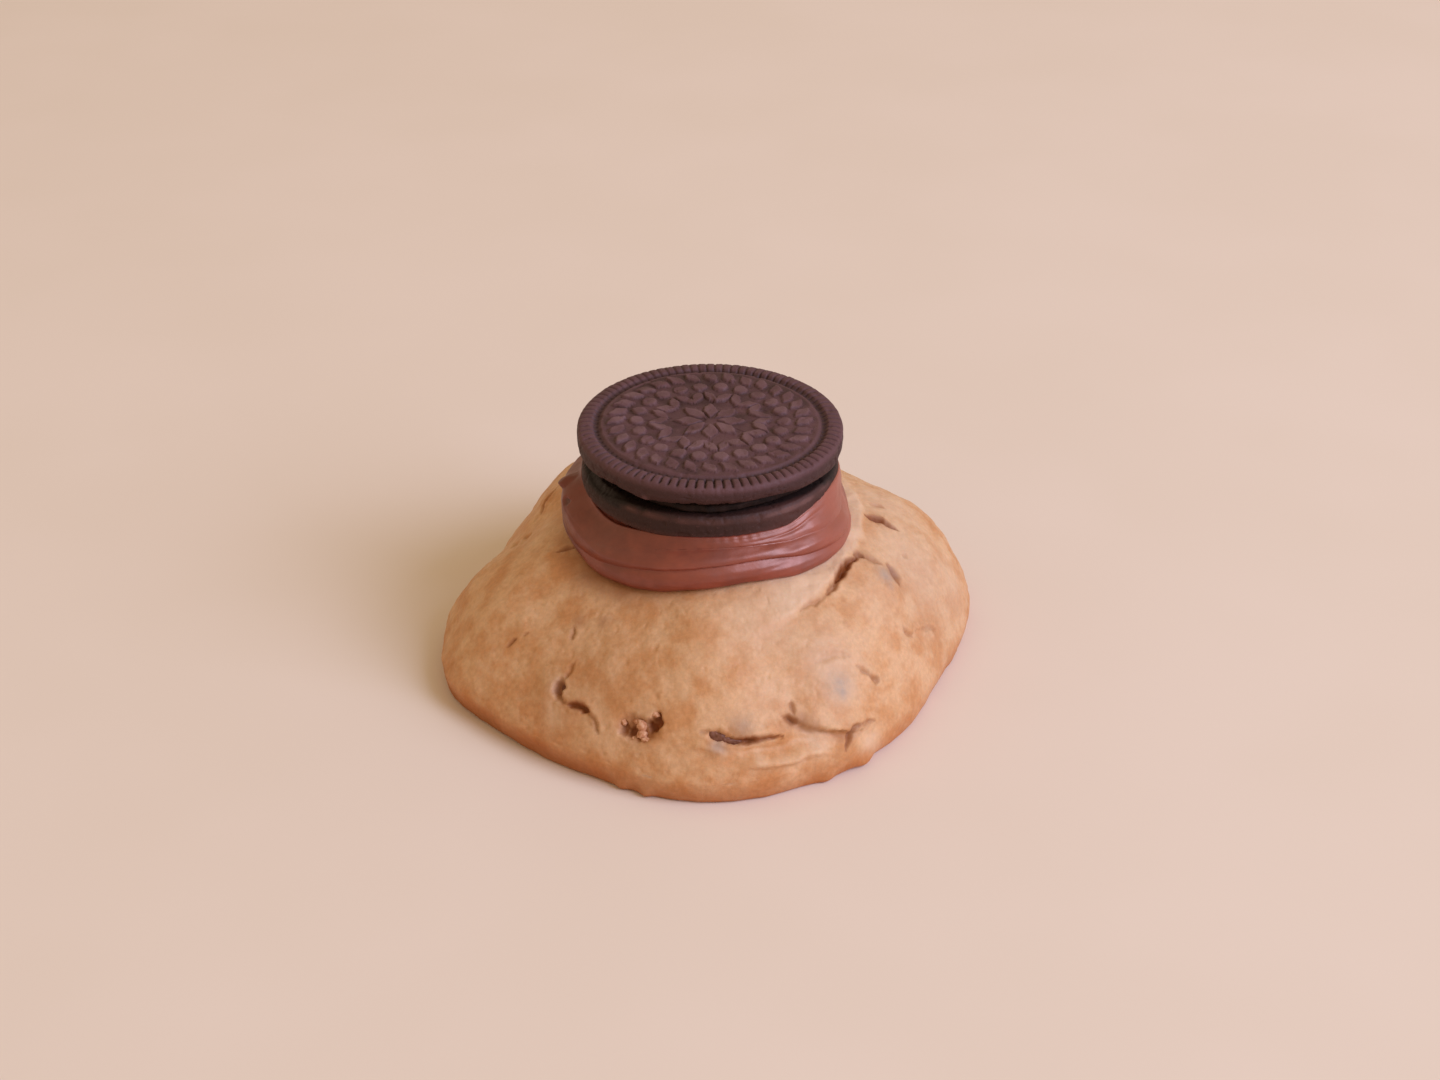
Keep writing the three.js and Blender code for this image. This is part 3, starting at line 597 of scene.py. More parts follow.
def dough_shell():
    rings = smooth_dome()
    shape = rings.shape
    points = rings.reshape(-1, 3)
    normals = outward(rings).reshape(-1, 3)
    degrees = angle_of(points)
    relief = crust_surface(points, degrees)
    clear_of_cream = smoothstep(-0.2, 2.2, radius_of(points) - cream_seat(degrees))
    above_table = smoothstep(0, 2.2, points[:, 2])
    swell = relief["swell"] + crust_grain(points) * clear_of_cream - relief["pit"]
    points = points + normals * (swell * above_table)[:, None]
    level = points[:, 2] + 0.5 * rough(points, 6, 2, seed=36)
    fold = 0.6 * bell(level - LEDGE["ridge"]) - bell(level - LEDGE["hollow"])
    fold *= LEDGE["reach"] * angle_bump(degrees, LEDGE["centre"], LEDGE["half_width"])
    points = points + polar(fold + rim_edge(points, degrees), degrees, 0)
    points[:, 2] = np.maximum(points[:, 2], 0)
    tints = {key: relief[key] for key in DOUGH_TINTS}
    tints["baked"] = rim_browning_and_shade(points, degrees)
    return points.reshape(shape), {key: values.reshape(shape[:2]) for key, values in tints.items()}


def blob_shell(spot, seed, around=26, count=15):
    """A rounded lump of an uneven form, set into the crust."""
    degrees, radius, size, sink, heading = spot
    across, up_slope, out = dome_basis(degrees, radius)
    turns = np.arange(around) * 360 / around
    rises = np.linspace(0.06, math.pi - 0.06, count)
    unit = np.array([polar(math.sin(rise), turns, -math.cos(rise)) for rise in rises])
    lump = unit * (1 + 0.3 * rough(unit * 3, 1.8, 3, seed=seed))[..., None] * np.array(size) / 2
    x, y = turned(lump[..., 0], lump[..., 1], -heading)
    centre = dome_point(degrees, radius) - out * sink
    return centre + x[..., None] * across + y[..., None] * up_slope + lump[..., 2:] * out, {}


# ---- Cream

CREAM_AROUND = 640
CREAM_SIDE_RINGS = 84
CREAM_LIP_RINGS = 8
CREAM_SINK = 0.25  # its edge settles this far into the crust
UNDERSIDE_RADII = (6, 16)

# Grooves between the piped ropes, by [degrees, share of the cream's height].
LOW_GROOVE = [
    [-165, 0.16], [-150, 0.27], [-139, 0.36], [-118, 0.47], [-102, 0.5], [-86, 0.55], [-70, 0.57],
    [-57, 0.5], [-45, 0.38], [-33, 0.3], [-15, 0.26], [60, 0.36], [140, 0.28],
]
HIGH_GROOVE = [
    [-150, 0.66], [-118, 0.78], [-102, 0.82], [-86, 0.84], [-75, 0.83], [-66, 0.81], [-57, 0.77],
    [-49, 0.73], [-41, 0.66], [-28, 0.6], [10, 0.56], [80, 0.7], [150, 0.6],
]
ROPE_ROUNDNESS = 0.27  # how far a rope stands out, as a share of its height
# A thin crease below the lip: its share of the height, its half width as a share and its depth.
CREASE = {"degrees": -50, "half_width": 17, "up": 0.9, "width": 0.026, "depth": 0.24}
TAIL = {"degrees": 178, "height": 32.2, "width": 1.7, "reach": 1.3}
# The dark notch beside the tail, by how far it is beside and below it.
NOTCH = {"beside": 4.8, "below": 1.5, "length": 1.4, "width": 0.8, "depth": 0.6}


def wafer_bed(height):
    """Radius of the lower wafer's edge with a thin film of cream, by height."""
    return lerp(LOWER_RADIUS - 0.6, LOWER_RADIUS + 0.15, np.clip(height - WAFER_SEAT, 0, 1))


def rope_relief(degrees, up, height):
    """How far the cream stands out at a share of its height: rounded ropes with grooves between."""
    low = around_knots(LOW_GROOVE, degrees)
    high = around_knots(HIGH_GROOVE, degrees)
    edges = [0 * low, low, high, 0 * low + 1]
    relief = np.zeros_like(degrees)
    for bottom, top in zip(edges, edges[1:]):
        share = np.clip((up - bottom) / (top - bottom), 0, 1)
        inside = (up >= bottom) & (up <= top)
        depth = ROPE_ROUNDNESS * np.minimum((top - bottom) * height, 3.4)
        relief = np.where(inside, depth * ((4 * share * (1 - share)) ** 0.8 - 0.45), relief)
    crease = CREASE["depth"] * bell((up - CREASE["up"]) / CREASE["width"])
    crease *= angle_bump(degrees, CREASE["degrees"], CREASE["half_width"])
    return relief * (0.2 + 0.8 * angle_bump(degrees, -78, 58)) - crease


def cream_side(degrees, bottom, top):
    """Rings of the cream's side, from its edge on the crust up to its lip."""
    outline = cream_radius(degrees) - 0.7 * angle_bump(degrees, -152, 24)
    lip = wafer_bed(top) + 0.15 + 0.3 * angle_bump(degrees, -88, 48)
    shoulder = lerp(CREAM_SHOULDER, RIGHT_SHOULDER, angle_bump(degrees, 2, 24))
    shoulder += 0.05 * angle_bump(degrees, 180, 24)
    narrowed = lerp(1, RIGHT_NARROWING, angle_bump(degrees, 4, 22))
    spread = around_knots(CREAM_SPREAD, degrees)
    for up in np.linspace(0, 1, CREAM_SIDE_RINGS):
        flare = lerp(outline, lip, smoothstep(shoulder, narrowed, up)) + spread * fade(0.2, 0.9, up)
        curl = CREAM_SEAT_INSET * (1 - np.sin(np.clip(up / 0.16, 0, 1) * np.pi / 2))
        radius = flare + rope_relief(degrees, up, top - bottom) - curl
        yield polar(radius, degrees, lerp(bottom, top, up))


def cream_shell():
    degrees = np.arange(CREAM_AROUND) * 360 / CREAM_AROUND
    bottom = dome_height(degrees, cream_seat(degrees)) - CREAM_SINK
    top = around_knots(CREAM_LIP, degrees)
    rings = [dome_point(degrees, radius) - [0, 0, CREAM_SINK] for radius in UNDERSIDE_RADII]
    rings += cream_side(degrees, bottom, top)
    edge = rings[-1]
    for turn in np.linspace(0, np.pi * 0.75, CREAM_LIP_RINGS + 1)[1:]:
        rings.append(edge + polar(0.35 * (np.cos(turn) - 1), degrees, 0.3 * np.sin(turn)))
    side = slice(len(UNDERSIDE_RADII), len(rings))
    for radius, height in ((LOWER_RADIUS - 1.2, WAFER_SEAT - 0.2), (RIDGE_START, WAFER_SEAT - 0.3)):
        rings.append(polar(radius, degrees, height))
    rings = np.array(rings)
    rings[side] = cream_relief(rings[side])
    return rings, cream_tints(rings, np.clip((rings[..., 2] - bottom) / (top - bottom), 0, 1), side)


def cream_tints(rings, up, side):
    """Painted shade on the cream's left side and top front under the wafer, with its tail's darker tone,
    and a painted highlight on its right side and middle rope, by its share of the height.
    """
    around = angle_of(rings)
    # Painted shade on the shaded left side and on the top front under the wafer.
    shade_and_torn = 0.42 * angle_bump(around, 180, 36)
    shade_and_torn += 0.2 * smoothstep(0.62, 0.85, up) * angle_bump(around, -108, 40)
    shade_and_torn[side] = np.maximum(shade_and_torn[side], torn_tail(rings[side])[1])
    # Painted highlight on the right side and along the middle rope in front.
    rope = bell((up - 0.52) / 0.14) * angle_bump(around, -88, 26)
    return {"shade_and_torn": shade_and_torn, "painted_highlight": np.maximum(0.5 * angle_bump(around, -14, 34), 0.2 * rope)}


def torn_tail(rings):
    """The rope's ripped tail at the left: how far it stands out or in, and how dark it is: a darker tone
    on the nub, and painted shade in the notch beside it.
    """
    along = np.radians(turn_between(angle_of(rings), TAIL["degrees"])) * CREAM_RADIUS
    above = rings[..., 2] - TAIL["height"] + 0.3 * rough(rings, 1.2, 2, seed=14)
    nub = fade(0.3, 1, np.hypot(along, above) / TAIL["width"])
    beside = (along - NOTCH["beside"]) / NOTCH["length"]
    below = (above + NOTCH["below"]) / NOTCH["width"]
    notch = fade(0.3, 1, np.hypot(beside, below))
    return TAIL["reach"] * nub - NOTCH["depth"] * notch, 0.5 * nub + 0.9 * notch


def cream_relief(rings):
    """Uneven flow, lines left by the nozzle, beads where the wafer's ridges press in, and the tail."""
    degrees = angle_of(rings)
    height = rings[..., 2]
    flow = 0.16 * rough(rings * [1, 1, 2.2], 7, 2, seed=11)
    ripples = 0.03 * rough(rings * [1, 1, 2.5], 2.4, 2, seed=12)
    waver = 2 * np.sin(np.radians(degrees * 2)) + rough(rings, 9, 1, seed=13)
    lines = 0.02 * np.sin(height * 6 + waver) * angle_bump(degrees, -60, 40)
    below_lip = around_knots(CREAM_LIP, degrees) - height
    beads = 0.04 * np.cos(np.radians(RIDGES * degrees)) * fade(0.1, 0.8, below_lip)
    out = flow + ripples + lines + beads * angle_bump(degrees, -76, 14)
    return rings + outward(rings) * out[..., None] + polar(torn_tail(rings)[0], degrees, 0)


# ---- Sandwich cookie

AROUND_A_RIDGE = 8
PROFILE_STEP = 0.2
FIELD_STEP = 0.22
SLOT_DEPTH = 0.6
# Wafer's section from the plain side up over the edge and the ridged border, as [radius, height].
WAFER_SECTION = [
    [21.6, 0], [21.85, 0.1], [22.15, 0.5], [22.4, 1.2], [22.5, 2.4], [22.5, 3.5], [22.36, 3.95],
    [22, 4.3], [21.4, 4.5], [20.7, 4.6], [20, 4.56], [19.65, 4.2], [19.2, 4.02], [18.8, 4.15],
    [18.4, 4.48],
]
PLAIN_INNER_RADIUS = 18.6  # of the part of the plain side that shows between the wafers
# The embossed leaves: [how many, radius, length, width, heading, heading of every other one].
LEAVES = [
    [8, 3.7, 5.2, 2.9, 0, 0],  # daisy
    [24, 8.7, 4.6, 2.1, 32, -32],  # zigzag wreath
    [32, 15.9, 4.3, 2.4, 38, 38],  # slanted border
]
DOTS = {"count": 22, "radius": 12.4, "size": 1.4}
# How far the plain edges are worn and chipped away, by [degrees, height].
UPPER_EDGE_WEAR = [
    [-170, 0], [-157, 0.1], [-148, 0.4], [-140, 0.8], [-128, 0.7], [-119, 0.3], [-115, 0.6], [-108, 0.7],
    [-98, 1], [-84, 1], [-60, 1.1], [-48, 0.7], [-36, 0.5], [-22, 0], [20, 0], [60, 0.1], [118, 0.3],
    [150, 0],
]
LOWER_EDGE_WEAR = [
    [-176, 0.3], [-164, 0.9], [-154, 1.3], [-145, 1], [-137, 0.4], [-128, 0], [-60, 0], [-30, 0],
    [-14, 0.3], [10, 0], [50, 0], [84, 0.35], [120, 0], [160, 0],
]
# Painted shade of the gap between the wafers over the lower wafer's plain side, out to a radius by angle.
GAP_SHADE_RADII = [
    [-165, 21.6], [-148, 22.3], [-137, 22.2], [-128, 21.4], [-120, 21.2], [-99, 20.2], [-82, 20.1],
    [-65, 19.9], [-53, 20.4], [-44, 20.7], [-33, 21.1], [-17, 21.8], [30, 20.8], [100, 21.2], [150, 20.6],
]


def resampled(section, step):
    """Points at even steps along a section."""
    section = np.array(section, float)
    along = np.append(0, np.cumsum(np.linalg.norm(np.diff(section, axis=0), axis=1)))
    even = np.linspace(0, along[-1], int(along[-1] / step) + 1)
    return np.stack([np.interp(even, along, section[:, axis]) for axis in (0, 1)], axis=-1)


def leaf(offset, length, width):
    """1 inside a pointed leaf along x, falling to 0 over its soft edge."""
    x, y = np.abs(offset[0]) / (length / 2), np.abs(offset[1]) / (width / 2)
    return fade(0.72, 1.08, x**1.5 + y)


def placed(points, radius, degrees, heading=0):
    """The points' x and y as seen from a motif at a radius and an angle, pointing along its heading."""
    x, y = turned(points[..., 0], points[..., 1], degrees)
    return turned(x - radius, y, heading)


def embossing(points):
    """A daisy, a zigzag wreath, a ring of dots and a border of slanted leaves, from 0 to 1."""
    raised = np.zeros(points.shape[:-1])
    for count, radius, length, width, *headings in LEAVES:
        for i in range(count):
            offset = placed(points, radius, 360 / count * i, headings[i % 2])
            raised = np.maximum(raised, leaf(offset, length, width))
    for i in range(DOTS["count"]):
        offset = placed(points, DOTS["radius"], 360 / DOTS["count"] * i)
        raised = np.maximum(raised, fade(0.75, 1.1, np.hypot(*offset) / DOTS["size"]))
    return raised


def slot_share(degrees):
    """1 in the narrow slots between the ridges of the border, 0 on the ridges."""
    away = 1 - 2 * np.abs((degrees * RIDGES / 360) % 1 - 0.5)
    return fade(0.1, 0.42, away)


def wafer_profile(embossed):
    """The wafer's section, with its face's field or with the part of its plain side that shows."""
    edge = resampled(WAFER_SECTION, PROFILE_STEP)
    if embossed:
        inner = np.arange(FIELD_RADIUS - FIELD_STEP, 0.3, -FIELD_STEP)
        return np.concatenate([edge, [[radius, WAFER_THICKNESS - 0.12] for radius in inner]])
    inner = np.arange(PLAIN_INNER_RADIUS, WAFER_SECTION[0][0], PROFILE_STEP)
    return np.concatenate([[[radius, 0] for radius in inner], edge])


def face_relief(rings, radius, seed):
    """The embossed field: its rise, and a tint of dust and painted highlight on top and painted shade
    low.
    """
    field = fade(FIELD_RADIUS - 0.5, FIELD_RADIUS, radius)
    worn = np.clip(0.85 + 0.5 * rough(rings, 4, 2, seed + 3), 0.4, 1.1)
    raised = embossing(shaken(rings, 1.1, 0.22, seed + 7)) * worn * field
    # Painted shade at the feet of the motifs, and darker towards the back.
    foot = fade(0, 0.22, np.abs(raised - 0.2))
    level = 0.9 * raised - 0.25 - 0.7 * foot + 0.5 * rough(rings, 3.5, 3, seed + 8)
    level -= 0.3 * smoothstep(-4, 20, rings[..., 1])
    return EMBOSS_HEIGHT * raised + 0.12 * rough(rings, 5, 2, seed + 4) * field, level * field


def wafer_rings(wear, embossed, seed):
    """A wafer with its plain side at z = 0 and its face up, and its level tint from -1 to 1: painted
    shade in the slots, the groove, down the side and low in the field, and dust and painted highlight up
    on it."""
    steps = np.arange(AROUND_A_RIDGE * RIDGES) / AROUND_A_RIDGE
    degrees = (steps - 0.07 * np.sin(2 * np.pi * steps)) * 360 / RIDGES
    rings = np.array([polar(radius, degrees, height) for radius, height in wafer_profile(embossed)])
    radius, height = radius_of(rings), rings[..., 2]
    drop = WAFER_THICKNESS - height
    border = smoothstep(18.9, 19.2, radius) * fade(0.1, 0.5, drop * (radius > 20.6)) * (drop < 2)
    slots = slot_share(degrees) * border * (0.55 + 0.45 * angle_bump(degrees, -88, 52))
    slots *= 0.85 + 0.3 * rough(rings, 6, 1, seed + 2)
    side = (1 - border) * smoothstep(21.5, 22.3, radius) * smoothstep(1, 2.5, height)
    crumbly = 0.05 * rough(rings, 1.2, 3, seed)
    crumbly -= 0.14 * smoothstep(0.3, 0.55, rough(rings, 1.7, 2, seed + 1))
    faint = 0.05 * slot_share(degrees) * side * smoothstep(-0.2, 0.6, rough(rings, 9, 1, seed + 6))
    moved = rings + outward(rings) * (crumbly - SLOT_DEPTH * slots - faint)[..., None]
    groove = bell((radius - 19.25) / 0.45) * (drop < 1.5)
    # Painted shade in the slots and the groove, and darker down the side.
    level = -np.maximum(slots, groove) - 0.9 * fade(2.4, 4.4, height)
    if embossed:
        rise, field_level = face_relief(rings, radius, seed)
        moved[..., 2] += rise
        level += field_level
    low_edge = smoothstep(20.6, 21.6, radius) * fade(0.6, 3.2, height)
    worn_off = np.maximum(around_knots(wear, degrees), 0) * (1 + 0.12 * rough(rings, 2.6, 2, seed + 5))
    moved[..., 2] += worn_off * low_edge
    return moved, level


def upper_wafer_shell():
    rings, level = wafer_rings(UPPER_EDGE_WEAR, embossed=True, seed=30)
    x, z = turned(rings[..., 0], rings[..., 2], UPPER_TILT)
    nicks = angle_bump(angle_of(rings), -118.5, 1.4) + angle_bump(angle_of(rings), -71, 1.1)
    level += 1.5 * nicks * fade(0.5, 2, rings[..., 2])
    return np.stack([x, rings[..., 1], z + UPPER_SEAT], axis=-1), {"level": level, "gap_shade": 0 * level}


def lower_wafer_shell():
    """Turned over: its face is down in the cream and its plain side is up."""
    rings, level = wafer_rings(LOWER_EDGE_WEAR, embossed=False, seed=40)
    rings, level = rings[::-1].copy(), level[::-1].copy()
    rings[..., :2] *= LOWER_RADIUS / WAFER_RADIUS
    radius, depth = radius_of(rings), rings[..., 2]
    degrees = angle_of(rings)
    # Painted shade of the gap under the upper wafer.
    reach = around_knots(GAP_SHADE_RADII, degrees) + 0.35 * rough(rings, 2.2, 2, seed=46)
    gap_shade = fade(1.3, 2.1, depth) * fade(-0.5, 0.5, radius - reach)
    # Painted highlight along the lit top edge, and painted light on the right side.
    dust_and_highlight = bell((depth - 0.75) / 0.5) * (0.9 + 0.8 * rough(rings, 3.5, 2, seed=47))
    level += 1.1 * dust_and_highlight * smoothstep(21, 21.6, radius) + 0.7 * angle_bump(degrees, -50, 24)
    rings[..., 2] = WAFER_SEAT + WAFER_THICKNESS - depth
    return rings, {"level": level, "gap_shade": gap_shade}


def filling_shell():
    degrees = np.arange(360)
    wobble = 0.35 * np.sin(np.radians(3 * degrees + 40)) + 0.2 * np.sin(np.radians(7 * degrees))
    widest = FILLING_RADIUS + wobble - 1.2 * angle_bump(degrees, -140, 24)
    bottom = WAFER_SEAT + WAFER_THICKNESS + FILLING_GAP
    rings = []
    for share in np.linspace(0, 1, 12):
        radius = widest - 0.5 * (2 * share - 1) ** 4
        tilt = radius * np.cos(np.radians(degrees)) * math.tan(math.radians(UPPER_TILT))
        rings.append(polar(radius, degrees, lerp(bottom, UPPER_SEAT - FILLING_GAP - tilt, share)))
    rings = np.array(rings)
    return rings + polar(0.3 * rough(rings, 2.5, 3, seed=50), degrees, 0), {}


# ---- Materials


def node(tree, kind, inputs=None, **settings):
    """Adds a shader node. An input may be a value or another node's socket."""
    made = tree.nodes.new(kind)
    for key, value in settings.items():
        setattr(made, key, value)
    for key, value in (inputs or {}).items():
        if isinstance(value, bpy.types.NodeSocket):
            tree.links.new(value, made.inputs[key])
        else:
            made.inputs[key].default_value = value
    return made


def new_material(name, **values):
    """A material with its node tree and its shader, whose sockets take the values."""
    material = bpy.data.materials.new(name)
    material.use_nodes = True
    tree = material.node_tree
    shader = tree.nodes["Principled BSDF"]
    for key, value in values.items():
        shader.inputs[key.replace("_", " ")].default_value = value
    return material, tree, shader


def spots_of(tree, size, detail=3, roughness=0.55):
    """Noise from 0 to 1 with features of a size in millimetres."""
    place = node(tree, "ShaderNodeTexCoord").outputs["Object"]
    inputs = {"Vector": place, "Scale": 1 / (size * MM), "Detail": detail, "Roughness": roughness}
    return node(tree, "ShaderNodeTexNoise", inputs).outputs["Fac"]


def ranged(tree, value, low, high, to_low=0, to_high=1):
    inputs = {"Value": value, "From Min": low, "From Max": high, "To Min": to_low, "To Max": to_high}
    return node(tree, "ShaderNodeMapRange", inputs, interpolation_type="SMOOTHSTEP").outputs["Result"]


def blend(tree, share, below, above, mode="MIX"):
    inputs = {0: share, 6: below, 7: above}
    return node(tree, "ShaderNodeMix", inputs, data_type="RGBA", blend_type=mode).outputs[2]


def tint_of(tree, name):
    return node(tree, "ShaderNodeAttribute", attribute_name=name).outputs["Fac"]


def bumped(tree, height, distance, **under):
    """A bump whose height of 0 to 1 stands for a distance in millimetres, over another's Normal."""
    inputs = {"Height": height, "Distance": distance * MM, **under}
    return node(tree, "ShaderNodeBump", inputs).outputs["Normal"]


def connect(tree, shader, **sockets):
    """Links sockets to the shader's inputs of the same names."""
    for key, socket in sockets.items():
        tree.links.new(socket, shader.inputs[key.replace("_", " ")])


def colour(red, green, blue):
    """Linear colour from screen values of 0 to 255."""
    return tuple(((v / 255 + 0.055) / 1.055) ** 2.4 for v in (red, green, blue)) + (1,)


DOUGH_PALE = colour(216, 168, 126)
DOUGH_TAN = colour(203, 145, 96)
DOUGH_BROWN = colour(186, 110, 54)
# Colours blended in one after the other, where the crust has the tint of that name.
# The pale tint also holds a painted highlight, the stain tint painted shade, and the crevice tint is
# painted shade.
DOUGH_TINTS = {
    "pale_and_highlight": colour(222, 186, 156), "bloom": colour(164, 147, 136),
    "stain_and_shade": colour(142, 84, 50), "crevice_shade": colour(134, 66, 18),
}
CREAM_COLOUR = colour(134, 55, 39)
CREAM_DARK = colour(113, 42, 30)
# Colour of the painted highlight on the cream.
CREAM_HIGHLIGHT = colour(178, 104, 86)
# Colour of the painted shade on the cream and of its darker tail.
CREAM_SHADE_AND_TORN = colour(88, 50, 44)
# Colour of the painted shade in the gap between the wafers.
GAP_SHADE = colour(34, 18, 14)


def dough_material():
    material, tree, shader = new_material(
        "baked_dough", Roughness=0.6, Specular_IOR_Level=0.35, Subsurface_Weight=0.12,
        Subsurface_Radius=(1, 0.5, 0.25), Subsurface_Scale=1.6 * MM)
    mottle = spots_of(tree, 5, 4)
    grain = spots_of(tree, 0.8, 4, 0.65)
    base = blend(tree, ranged(tree, mottle, 0.35, 0.68), DOUGH_PALE, DOUGH_TAN)
    parts = {0: tint_of(tree, "baked"), 1: ranged(tree, mottle, 0.3, 0.7, -0.13, 0.13)}
    browning = node(tree, "ShaderNodeMath", parts, operation="ADD").outputs["Value"]
    base = blend(tree, browning, base, DOUGH_BROWN)
    shade = ranged(tree, grain, 0.3, 0.7, 0.91, 1.06)
    base = blend(tree, 1, base, shade, "MULTIPLY")
    # Blends in the tints, among them painted shade and a painted highlight.
    for name, tint in DOUGH_TINTS.items():
        base = blend(tree, tint_of(tree, name), base, tint)
    normal = bumped(tree, spots_of(tree, 1.3), 0.13)
    connect(tree, shader, Base_Color=base, Normal=bumped(tree, grain, 0.045, Normal=normal))
    return material


def patchy_material(name, size, low, colours, grain, bump, **values):
    """A material in soft patches of two colours, with a fine bump."""
    material, tree, shader = new_material(name, **values)
    patches = ranged(tree, spots_of(tree, size), low, 1 - low)
    normal = bumped(tree, spots_of(tree, grain), bump)
    connect(tree, shader, Base_Color=blend(tree, patches, *colours), Normal=normal)
    return material


def chip_material():
    browns = colour(106, 62, 44), colour(126, 80, 60)
    return patchy_material(
        "chocolate_chip", 1.2, 0.35, browns, 0.6, 0.08, Roughness=0.5, Specular_IOR_Level=0.3)


def crumb_material():
    tans = colour(216, 164, 130), colour(190, 128, 90)
    return patchy_material(
        "dough_crumb", 0.6, 0.35, tans, 0.35, 0.08, Roughness=0.8, Specular_IOR_Level=0.2)


def cream_material():
    material, tree, shader = new_material(
        "chocolate_cream", IOR=1.6, Specular_Tint=(1, 0.7, 0.6, 1),
        Subsurface_Weight=0.1, Subsurface_Radius=(1, 0.45, 0.3), Subsurface_Scale=1.2 * MM)
    # Tint of painted shade, which also darkens the tail.
    shade_and_torn = tint_of(tree, "shade_and_torn")
    base = blend(tree, ranged(tree, spots_of(tree, 6), 0.35, 0.65), CREAM_COLOUR, CREAM_DARK)
    # Painted highlight on the right side and the middle rope.
    base = blend(tree, tint_of(tree, "painted_highlight"), base, CREAM_HIGHLIGHT)
    connect(
        tree, shader, Base_Color=blend(tree, shade_and_torn, base, CREAM_SHADE_AND_TORN),
        Specular_IOR_Level=ranged(tree, shade_and_torn, 0.1, 0.4, 0.9, 0.5),
        Roughness=ranged(tree, spots_of(tree, 3), 0.3, 0.7, 0.38, 0.48),
        Normal=bumped(tree, spots_of(tree, 0.5), 0.02))
    return material


def cocoa_material(name, *screen_colours):
    """Cocoa wafer in a flat, a low and a light colour, by its level tint: the low colour is painted shade
    where the level is low, and the light one is dust and painted highlight where it is raised."""
    material, tree, shader = new_material(name, Specular_IOR_Level=0.3)
    flat, low, dust_and_highlight = [colour(*values) for values in screen_colours]
    patches = ranged(tree, spots_of(tree, 4), 0.3, 0.7, 0, 0.3)
    grit = spots_of(tree, 0.45, 4, 0.7)
    level = tint_of(tree, "level")
    base = blend(tree, patches, flat, low)
    for value, start, full, most, tint in (
        (level, 0, 0.9, 0.8, dust_and_highlight), (level, 0, -0.9, 0.95, low),
        (grit, 0.58, 0.74, 0.4, dust_and_highlight), (grit, 0.42, 0.28, 0.4, low),
    ):
        base = blend(tree, ranged(tree, value, start, full, 0, most), base, tint)
    # Painted shade of the gap between the wafers.
    base = blend(tree, tint_of(tree, "gap_shade"), base, GAP_SHADE)
    normal = bumped(tree, grit, 0.06, Normal=bumped(tree, spots_of(tree, 1), 0.08))
    roughness = ranged(tree, grit, 0.3, 0.7, 0.55, 0.75)
    connect(tree, shader, Base_Color=base, Roughness=roughness, Normal=normal)
    return material


def filling_material():
    darks = colour(44, 26, 22), colour(26, 14, 12)
    return patchy_material(
        "dark_filling", 1.5, 0.3, darks, 0.7, 0.1, Roughness=0.7, Specular_IOR_Level=0.2)


def floor_material():
    material, tree, shader = new_material("pale_paper", Roughness=0.85, Specular_IOR_Level=0.15)
    fleck = ranged(tree, spots_of(tree, 60, 2), 0.3, 0.7)
    connect(tree, shader, Base_Color=blend(tree, fleck, colour(232, 212, 196), colour(234, 214, 199)))
    return material


# ---- Stage

CAMERA_TARGET = Vector((1.684, 0, 20.697))
CAMERA_DISTANCE = 417.03
CAMERA_AZIMUTH = -90
CAMERA_ELEVATION = 31.113
CAMERA_LENS = 60
SENSOR_WIDTH = 36
FLOOR_REACH = 4  # metres


def stand(thing, azimuth, elevation, distance, target=(0, 0, 0)):
    """Puts a camera or a light at a distance in metres from the target and aims it there. The azimuth
    is in degrees from +X towards +Y, and the elevation above the horizon."""
    towards = Vector(polar(math.cos(math.radians(elevation)), azimuth, math.sin(math.radians(elevation))))
    thing.location = Vector(target) + towards * distance
    thing.rotation_mode = "QUATERNION"
    thing.rotation_quaternion = towards.to_track_quat("Z", "Y")


def add_camera():
    data = bpy.data.cameras.new("camera")
    data.lens = CAMERA_LENS
    data.sensor_width = SENSOR_WIDTH
    data.clip_start = 0.01
    camera = add_object("camera", data)
    stand(camera, CAMERA_AZIMUTH, CAMERA_ELEVATION, CAMERA_DISTANCE * MM, CAMERA_TARGET * MM)
    bpy.context.scene.camera = camera


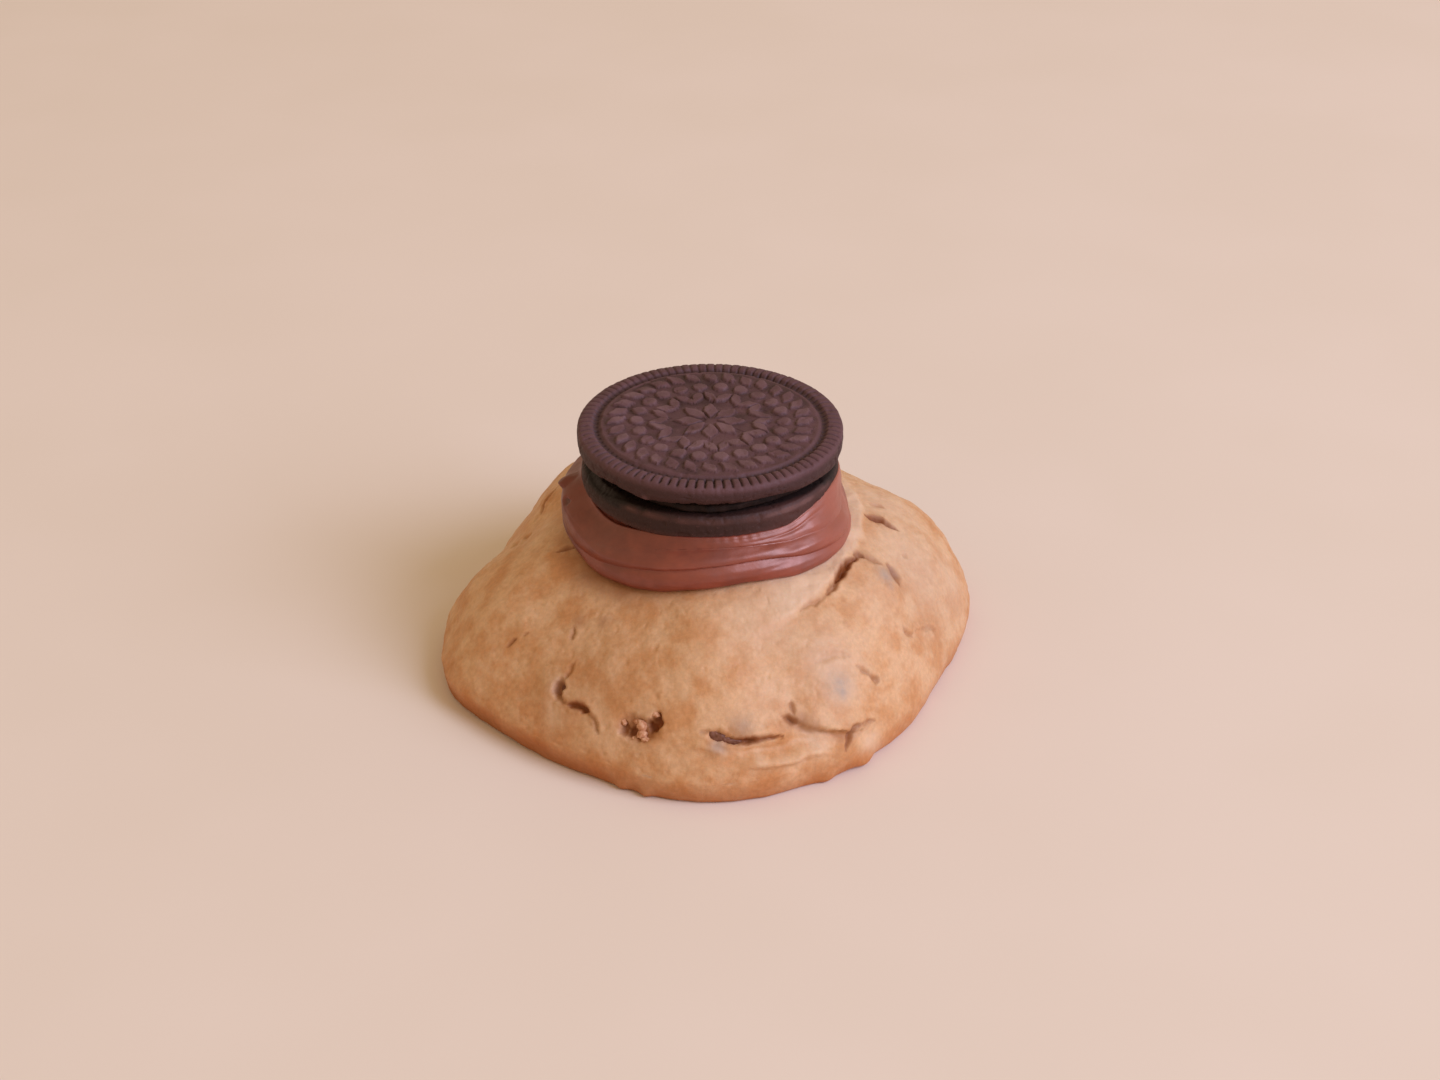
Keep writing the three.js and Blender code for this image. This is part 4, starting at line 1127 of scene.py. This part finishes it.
def add_softbox(name, azimuth, elevation, distance, size, power, tint):
    """Square area light aimed at the cookie; distance and size in metres."""
    data = bpy.data.lights.new(name, "AREA")
    data.size = size
    data.energy = power
    data.color = tint
    stand(add_object(name, data), azimuth, elevation, distance)


def add_room_light(strength, tint):
    world = bpy.data.worlds.new("room")
    world.use_nodes = True
    background = world.node_tree.nodes["Background"]
    background.inputs["Color"].default_value = (*tint, 1)
    background.inputs["Strength"].default_value = strength
    bpy.context.scene.world = world


def add_floor():
    mesh = bpy.data.meshes.new("floor")
    corners = [(x * FLOOR_REACH, y * FLOOR_REACH, 0) for x, y in ((-1, -1), (1, -1), (1, 1), (-1, 1))]
    mesh.from_pydata(corners, [], [(0, 1, 2, 3)])
    mesh.materials.append(floor_material())
    floor = add_object("floor", mesh)


def build_dessert():
    upper = cocoa_material("cocoa_wafer", (98, 64, 66), (64, 38, 37), (118, 85, 87))
    # A darker copy of the wafer's colours: painted shade on the lower wafer, which lies under the upper
    # one.
    lower = cocoa_material("shaded_cocoa_wafer", (78, 45, 39), (52, 28, 23), (108, 72, 66))
    make_piece("base_cookie_crust", [dough_shell()], dough_material(), "base_cookie")
    chips = [blob_shell(chip, seed=60 + i) for i, chip in enumerate(CHIPS)]
    make_piece("chocolate_chips", chips, chip_material(), "base_cookie")
    crumbs = [blob_shell(crumb, seed=80 + i, around=18, count=10) for i, crumb in enumerate(CRUMBS)]
    make_piece("crust_crumbs", crumbs, crumb_material(), "base_cookie")
    make_piece("piped_cream", [cream_shell()], cream_material(), "chocolate_cream")
    make_piece("sandwich_filling", [filling_shell()], filling_material(), "filling")
    make_piece("sandwich_wafer_lower", [lower_wafer_shell()], lower, "wafer_lower")
    make_piece("sandwich_wafer_upper", [upper_wafer_shell()], upper, "wafer_upper")


build_dessert()
add_camera()
add_floor()
add_softbox(
    "key_softbox", azimuth=-27, elevation=36, distance=2.2, size=1.3, power=48, tint=(0.62, 0.71, 1))
add_room_light(0.59, (1, 0.81, 0.54))
bpy.context.scene.view_settings.view_transform = "Standard"
